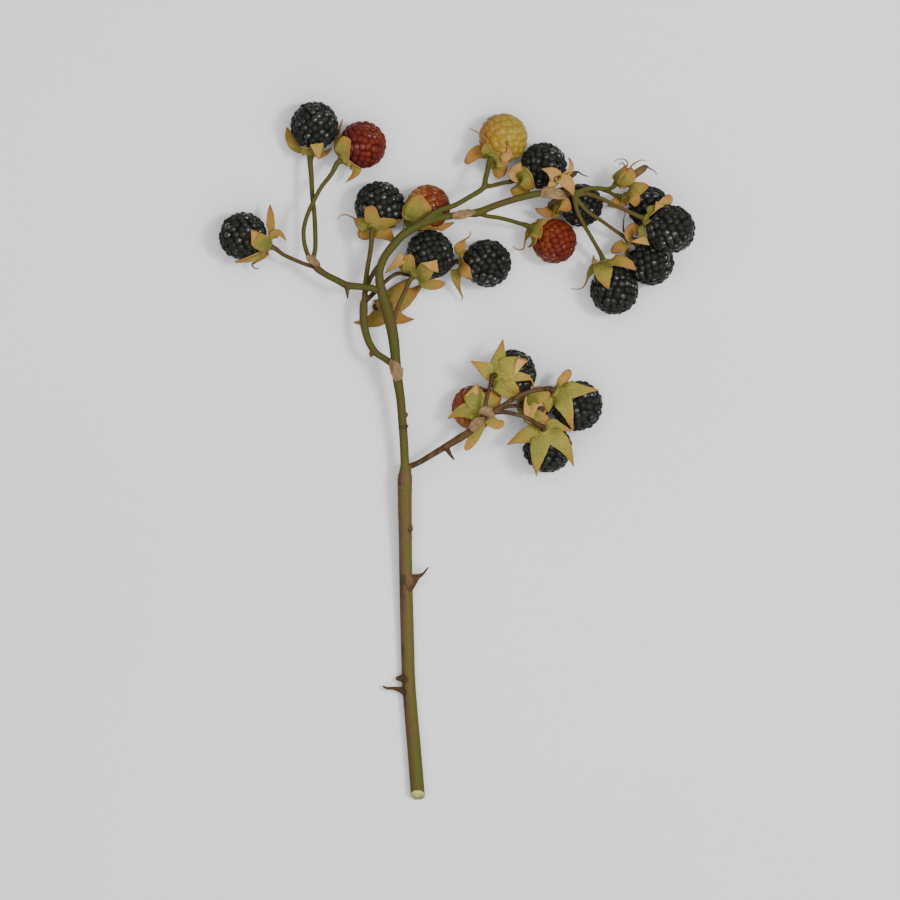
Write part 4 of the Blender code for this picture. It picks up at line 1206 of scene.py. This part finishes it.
class Blade:
    """The course of a sepal or bract: a curve from its root to its tip, and the fold at its end."""

    def __init__(self, root, outward, stemward, shape):
        self.root = root
        self.tip = at(*shape.tip)
        self.bend = root + outward * (self.tip - root).length * BEND_SHARE
        if shape.mid:
            self.bend = at(*shape.mid) * 2.0 - (root + self.tip) / 2.0
        self.wing = outward.cross(stemward)
        self.facing = shape.facing
        self.over = at(*shape.over) if shape.over else None
        self.crease = 1.0
        if self.over:
            run = (self.tip - root).length
            self.crease = run / (run + (self.over - self.tip).length)

    def turned(self, out, tangent, part):
        """Turns a blade's outward vector up or down along its length."""
        if not self.facing:
            return out
        level = turn_frame(UP, tangent) * self.facing
        return out.lerp(level, FACING_STRENGTH * ease(fade(part, 0.0, FACING_SHARE))).normalized()

    def at_share(self, share):
        """Gives the middle point, the side vector and the outward vector at a share of the length."""
        part = min(1.0, share / self.crease)
        spine = bezier(self.root, self.bend, self.tip, part)
        ahead = bezier(self.root, self.bend, self.tip, min(1.0, part + SHORT_STEP))
        behind = bezier(self.root, self.bend, self.tip, max(0.0, part - SHORT_STEP))
        tangent = (ahead - behind).normalized()
        out = self.turned(turn_frame(self.wing, tangent).cross(tangent), tangent, part)
        side = tangent.cross(out)
        if not self.over:
            return spine, side, out
        back = (self.over - self.tip).normalized()
        below = -turn_frame(UP, back)
        folded = back.cross(below)
        crease = (side + folded).normalized()
        if share <= self.crease:
            near = max(0.0, 1.0 - (self.crease - share) / FOLD_BEFORE)
            return spine, side.lerp(crease, near), out
        passed = (share - self.crease) / (1.0 - self.crease)
        place = self.tip + (self.over - self.tip) * passed + out * FOLD_LIFT * min(1.0, passed * 4.0)
        return place, folded.lerp(crease, max(0.0, 1.0 - passed / FOLD_AFTER)), below


def make_sepal(blade, shape, obstacles, wave, dryness):
    """Shapes one sepal from a grid: lance-shaped, cupped, ribbed and waved."""
    sheet = grid(ROWS, COLUMNS)
    outline = OUTLINES[shape.form]
    along, across = [], []
    for vertex in sheet.data.vertices:
        share = (vertex.co.y + 1.0) / 2.0
        wide = vertex.co.x
        spine, side, out = blade.at_share(share)
        folded = share > blade.crease
        half = shape.width * BLADE_FULLNESS / 2.0
        if folded:
            passed = (share - blade.crease) / (1.0 - blade.crease)
            half *= along_profile(outline, blade.crease) * (1.0 - passed) ** FOLD_TAPER
        else:
            half *= along_profile(outline, share)
        cup = -CUP_DEPTH * shape.width * wide * wide * (1.0 - 0.5 * share)
        rib = RIB_HEIGHT * math.exp(-(wide / 0.22) ** 2) * (1.0 - share)
        ripple = RIPPLE_HEIGHT * shape.width * wide * math.sin(share * 8.0 + wave + 1.2 * wide) * share
        place = spine + side * half * wide
        place += out * (cup * 0.4 if folded else cup + rib + ripple)
        vertex.co = keep_clear(place, obstacles) * MM
        along.append(share)
        across.append(wide)
    paint(sheet, "along", along)
    paint(sheet, "across", across)
    paint_all(sheet, dryness=dryness)
    return sheet


def make_tail(blade, shape, dryness):
    """Makes the fine curled end of a sepal."""
    start = bezier(blade.root, blade.bend, blade.tip, TAIL_SHARE)
    run = [(start, TAIL_RADIUS * 1.5), (blade.tip, TAIL_RADIUS)]
    ends = [at(*place) for place in shape.tail]
    run += [(end, TAIL_RADIUS * (1.0 - 0.6 * (index + 1) / len(ends))) for index, end in enumerate(ends)]
    tail = tube(run, step=0.6, sides=1)
    paint_all(tail, along=TAIL_SHARE, across=0.0, dryness=dryness + 0.25)
    return tail


# How light a calyx is where it isn't as the others; calyx 8's darker tone is painted shade, where it lies
# under the cane
CALYX_TONES = {8: 0.72, 12: 0.7, 16: 0.88, 19: 1.14, 20: 1.14, 21: 1.18, 22: 1.08, 23: 1.0}
PLAIN_TONE = 0.84

# Calyces whose cup isn't the usual one: radius, height, place off the hub and dryness
CUPS = {
    7: (2.9, 1.5, -0.4, 0.0), 8: (1.9, 0.7, 0.0, 1.7), 11: (2.9, 2.0, 0.0, 0.0), 17: (2.5, 3.5, -3.0, 0.3),
    18: (0.8, 0.3, 0.0, 0.9), 23: (1.4, 0.8, 0.0, 0.2),
}
PLAIN_CUP = (2.3, 0.95, 0.0, 0.05)
# Dark lumps, each a place and a reach: withered middles at calyces 23 and 18, and at calyx 8 a lump set off
# the hub on a dark spot
BURRS = {23: ((540, 409.5, 13.4), 1.25), 8: ((376, 307, 2.2), 1.3), 18: ((558, 180.5, 22.2), 0.6)}
ROOT_RADII = {18: 0.4, 23: 0.6}


def ball(place, radii, pole, dryness):
    """Adds a small ball, drawn out along its pole."""
    bpy.ops.object.select_all(action="DESELECT")
    bpy.ops.mesh.primitive_uv_sphere_add(segments=20, ring_count=10, radius=1.0)
    lump = bpy.context.active_object
    lump.rotation_mode = "QUATERNION"
    lump.rotation_quaternion = pole.to_track_quat("Z", "Y")
    lump.scale = Vector(radii) * MM
    lump.location = place * MM
    settle(lump)
    paint_all(lump, along=0.0, across=0.0, dryness=dryness)
    return lump


def hub_cup(number, hub, stemward):
    """Makes the low cup that the sepals spring from, and the dark lump listed for it: the withered middle
    of calyces 23 and 18, and at calyx 8 a lump off the hub where a dark spot shows.
    """
    radius, height, shift, dryness = CUPS.get(number, PLAIN_CUP)
    lumps = [ball(hub + stemward * shift, (radius, radius, height), stemward, dryness)]
    if number in BURRS:
        place, reach = BURRS[number]
        lumps.append(ball(at(*place), (reach, reach, 0.5), UP, 1.8))
    return lumps


def lay_out_sepals(number):
    """Gives each sepal of a calyx with its course from the hub."""
    hub, stemward = hub_of(number)
    across = stemward.orthogonal().normalized()
    beside = stemward.cross(across)

    def bearing(shape):
        reach = at(*shape.tip) - hub
        return math.atan2(reach.dot(beside), reach.dot(across))

    shapes = sorted(SEPALS[number], key=bearing)
    angles = attach_angles([bearing(shape) for shape in shapes])
    for shape, angle in zip(shapes, angles):
        outward = across * math.cos(angle) + beside * math.sin(angle)
        root = hub + outward * ROOT_RADII.get(number, ROOT_RADIUS)
        yield shape, Blade(root, outward, stemward, shape)


def make_calyx(number, segments, outer, inner, settings):
    """Makes a calyx: five sepals with their curled ends, on a low cup."""
    hub, stemward = hub_of(number)
    draw = random.Random(number * 13)
    obstacles = near_obstacles(hub, segments)
    sheets, tails = [], []
    for shape, blade in lay_out_sepals(number):
        dryness = shape.dry + draw.uniform(-0.06, 0.06)
        sheets.append(make_sepal(blade, shape, obstacles, draw.uniform(0.0, 6.0), dryness))
        if shape.tail:
            tails.append(make_tail(blade, shape, dryness))
    name = f"sepals_{number:02d}"
    body = join(sheets, name)
    for material in (outer, inner):
        body.data.materials.append(material)
    thicken(body, settings.thickness, inner_slot=1)
    extras = hub_cup(number, hub, stemward) + tails
    for extra in extras:
        extra.data.materials.append(outer)
    body = join([body, *extras], name)
    bpy.ops.object.shade_smooth()
    settle(body)
    paint_all(body, tone=CALYX_TONES.get(number, PLAIN_TONE))
    return body


class SPRIG_OT_calyces(bpy.types.Operator):
    """Model the calyces, each five sepals on a cup"""
    bl_idname = "sprig.calyces"
    bl_label = "Calyces"

    def execute(self, context):
        settings = context.scene.sprig_leaves
        outer = sepal_outer(settings)
        inner = sepal_inner(settings)
        segments = obstacle_segments()
        for number in SEPALS:
            body = make_calyx(number, segments, outer, inner, settings)
            hand_over(body, f"calyx_{number:02d}", "sepals")
        return {"FINISHED"}


# Bracts: how wide they are along their length, and how thick, curled and creased
BRACT_OUTLINE = ((0.0, 0.55), (0.15, 0.85), (0.4, 1.0), (0.7, 0.86), (0.88, 0.55), (1.0, 0.12))
BRACT_THICKNESS = 0.2
BRACT_CURL = 0.9
BRACT_CREASE = 0.22


def make_bract(name, paper):
    """Makes a bract: a short papery blade, arched over the stem, with a torn, curled edge."""
    (foot, middle, tip), width = BRACTS[name]
    foot, middle, tip = at(*foot), at(*middle), at(*tip)
    bend = middle * 2.0 - (foot + tip) / 2.0
    side = (tip - foot).normalized().cross(UP).normalized()
    phase = random.Random(name).uniform(0.0, 6.0)
    sheet = grid(20, 12)
    across = []
    for vertex in sheet.data.vertices:
        share = (vertex.co.y + 1.0) / 2.0
        wide = vertex.co.x
        spine = bezier(foot, bend, tip, share)
        edge = noise.noise(Vector((share * 4.0, phase, math.copysign(2.0, wide)))) * 0.3
        half = width / 2.0 * along_profile(BRACT_OUTLINE, share) * (1.0 + edge * abs(wide))
        lifted = max(0.0, abs(wide) - 0.75) * (1.0 + math.sin(7.0 * share + phase))
        curl = BRACT_CURL * (wide * wide - lifted)
        fold = BRACT_CURL * noise.noise(Vector((share * 3.5, wide * 1.6, phase)))
        crease = BRACT_CREASE * math.sin(5.0 * wide + 3.0 * share + phase) * (1.0 - wide * wide)
        place = spine + side * half * wide - UP * (curl + crease + fold - 0.2)
        vertex.co = place * MM
        across.append(wide)
    paint(sheet, "across", across)
    paint_all(sheet, tone=1.0)
    thicken(sheet, BRACT_THICKNESS * MM)
    bpy.ops.object.shade_smooth()
    sheet.data.materials.append(paper)
    return join([sheet], name + "_paper")


class SPRIG_OT_bracts(bpy.types.Operator):
    """Model the papery bracts at the forks"""
    bl_idname = "sprig.bracts"
    bl_label = "Bracts"

    def execute(self, context):
        paper = bract_paper(context.scene.sprig_leaves)
        for name in BRACTS:
            hand_over(make_bract(name, paper), name, "bracts")
        return {"FINISHED"}


# Stage: the place, size and colour of each light, and the dim light from all round
KEY_LIGHT = ((0.7, 0.12, 1.3), 0.26, (1.0, 0.99, 0.97))
FILL_LIGHT = ((0.1, -0.1, 1.6), 3.0, (0.99, 0.99, 1.0))
SKY_COLOUR = (0.88, 0.88, 0.87)
SKY_STRENGTH = 0.25


def area_light(name, power, place, size, colour):
    """Adds a square light that faces the sprig."""
    data = bpy.data.lights.new(name, "AREA")
    data.energy = power
    data.size = size
    data.color = colour
    light = bpy.data.objects.new(name, data)
    light.location = place
    light.rotation_euler = (-Vector(place)).to_track_quat("-Z", "Y").to_euler()
    bpy.context.scene.collection.objects.link(light)


def make_floor(colour):
    """Adds the pale surface under the sprig."""
    bpy.ops.object.select_all(action="DESELECT")
    bpy.ops.mesh.primitive_plane_add(size=12.0, location=(0.0, 0.0, -0.0001))
    floor = bpy.context.active_object
    floor.name = "floor"
    card = Shader("floor_card")
    tone = card.ramp(card.noise(6.0, 2.0), [(0.35, darker(colour, 0.975)), (0.65, colour)])
    card.set(Base_Color=tone, Roughness=0.9)
    floor.data.materials.append(card.material)


def make_camera(height):
    """Looks straight down, with the photograph's width on the surface."""
    data = bpy.data.cameras.new("camera")
    data.sensor_width = 36.0
    data.lens = data.sensor_width * height / (PHOTO_STEPS * PLAN_STEP * MM)
    data.clip_end = 20.0
    camera = bpy.data.objects.new("camera", data)
    camera.location = at(*PHOTO_CENTRE, 0.0) * MM + UP * height
    bpy.context.scene.collection.objects.link(camera)
    bpy.context.scene.camera = camera


class SPRIG_OT_stage(bpy.types.Operator):
    """Set the floor, lights and camera"""
    bl_idname = "sprig.stage"
    bl_label = "Stage"

    def execute(self, context):
        settings = context.scene.sprig_stage
        make_floor(settings.floor)
        make_camera(settings.camera_height)
        area_light("key", settings.key_power, *KEY_LIGHT)
        area_light("fill", settings.fill_power, *FILL_LIGHT)
        world = context.scene.world or bpy.data.worlds.new("world")
        context.scene.world = world
        world.use_nodes = True
        background = world.node_tree.nodes["Background"]
        background.inputs["Color"].default_value = rgba(SKY_COLOUR)
        background.inputs["Strength"].default_value = SKY_STRENGTH
        return {"FINISHED"}


class SPRIG_PT_panel(bpy.types.Panel):
    """Lists the steps that model the sprig"""
    bl_idname = "SPRIG_PT_panel"
    bl_label = "Bramble sprig"
    bl_space_type = "VIEW_3D"
    bl_region_type = "UI"
    bl_category = "Bramble"

    def draw(self, context):
        for operator in OPERATORS:
            self.layout.operator(operator.bl_idname)


SETTINGS = {
    "sprig_berries": BerrySettings,
    "sprig_leaves": LeafSettings,
    "sprig_stems": StemSettings,
    "sprig_stage": StageSettings,
}
OPERATORS = (SPRIG_OT_stage, SPRIG_OT_stems, SPRIG_OT_berries, SPRIG_OT_calyces, SPRIG_OT_bracts)


def register():
    """Registers the settings, the operators and the panel."""
    for kind in (*SETTINGS.values(), *OPERATORS, SPRIG_PT_panel):
        bpy.utils.register_class(kind)
    for name, kind in SETTINGS.items():
        setattr(bpy.types.Scene, name, PointerProperty(type=kind))


def unregister():
    """Takes them out again."""
    for name in SETTINGS:
        delattr(bpy.types.Scene, name)
    for kind in reversed((*SETTINGS.values(), *OPERATORS, SPRIG_PT_panel)):
        bpy.utils.unregister_class(kind)


def main():
    """Makes the sprig and its stage."""
    register()
    bpy.ops.sprig.stage()
    bpy.ops.sprig.stems()
    bpy.ops.sprig.berries()
    bpy.ops.sprig.calyces()
    bpy.ops.sprig.bracts()


if __name__ == "__main__":
    main()
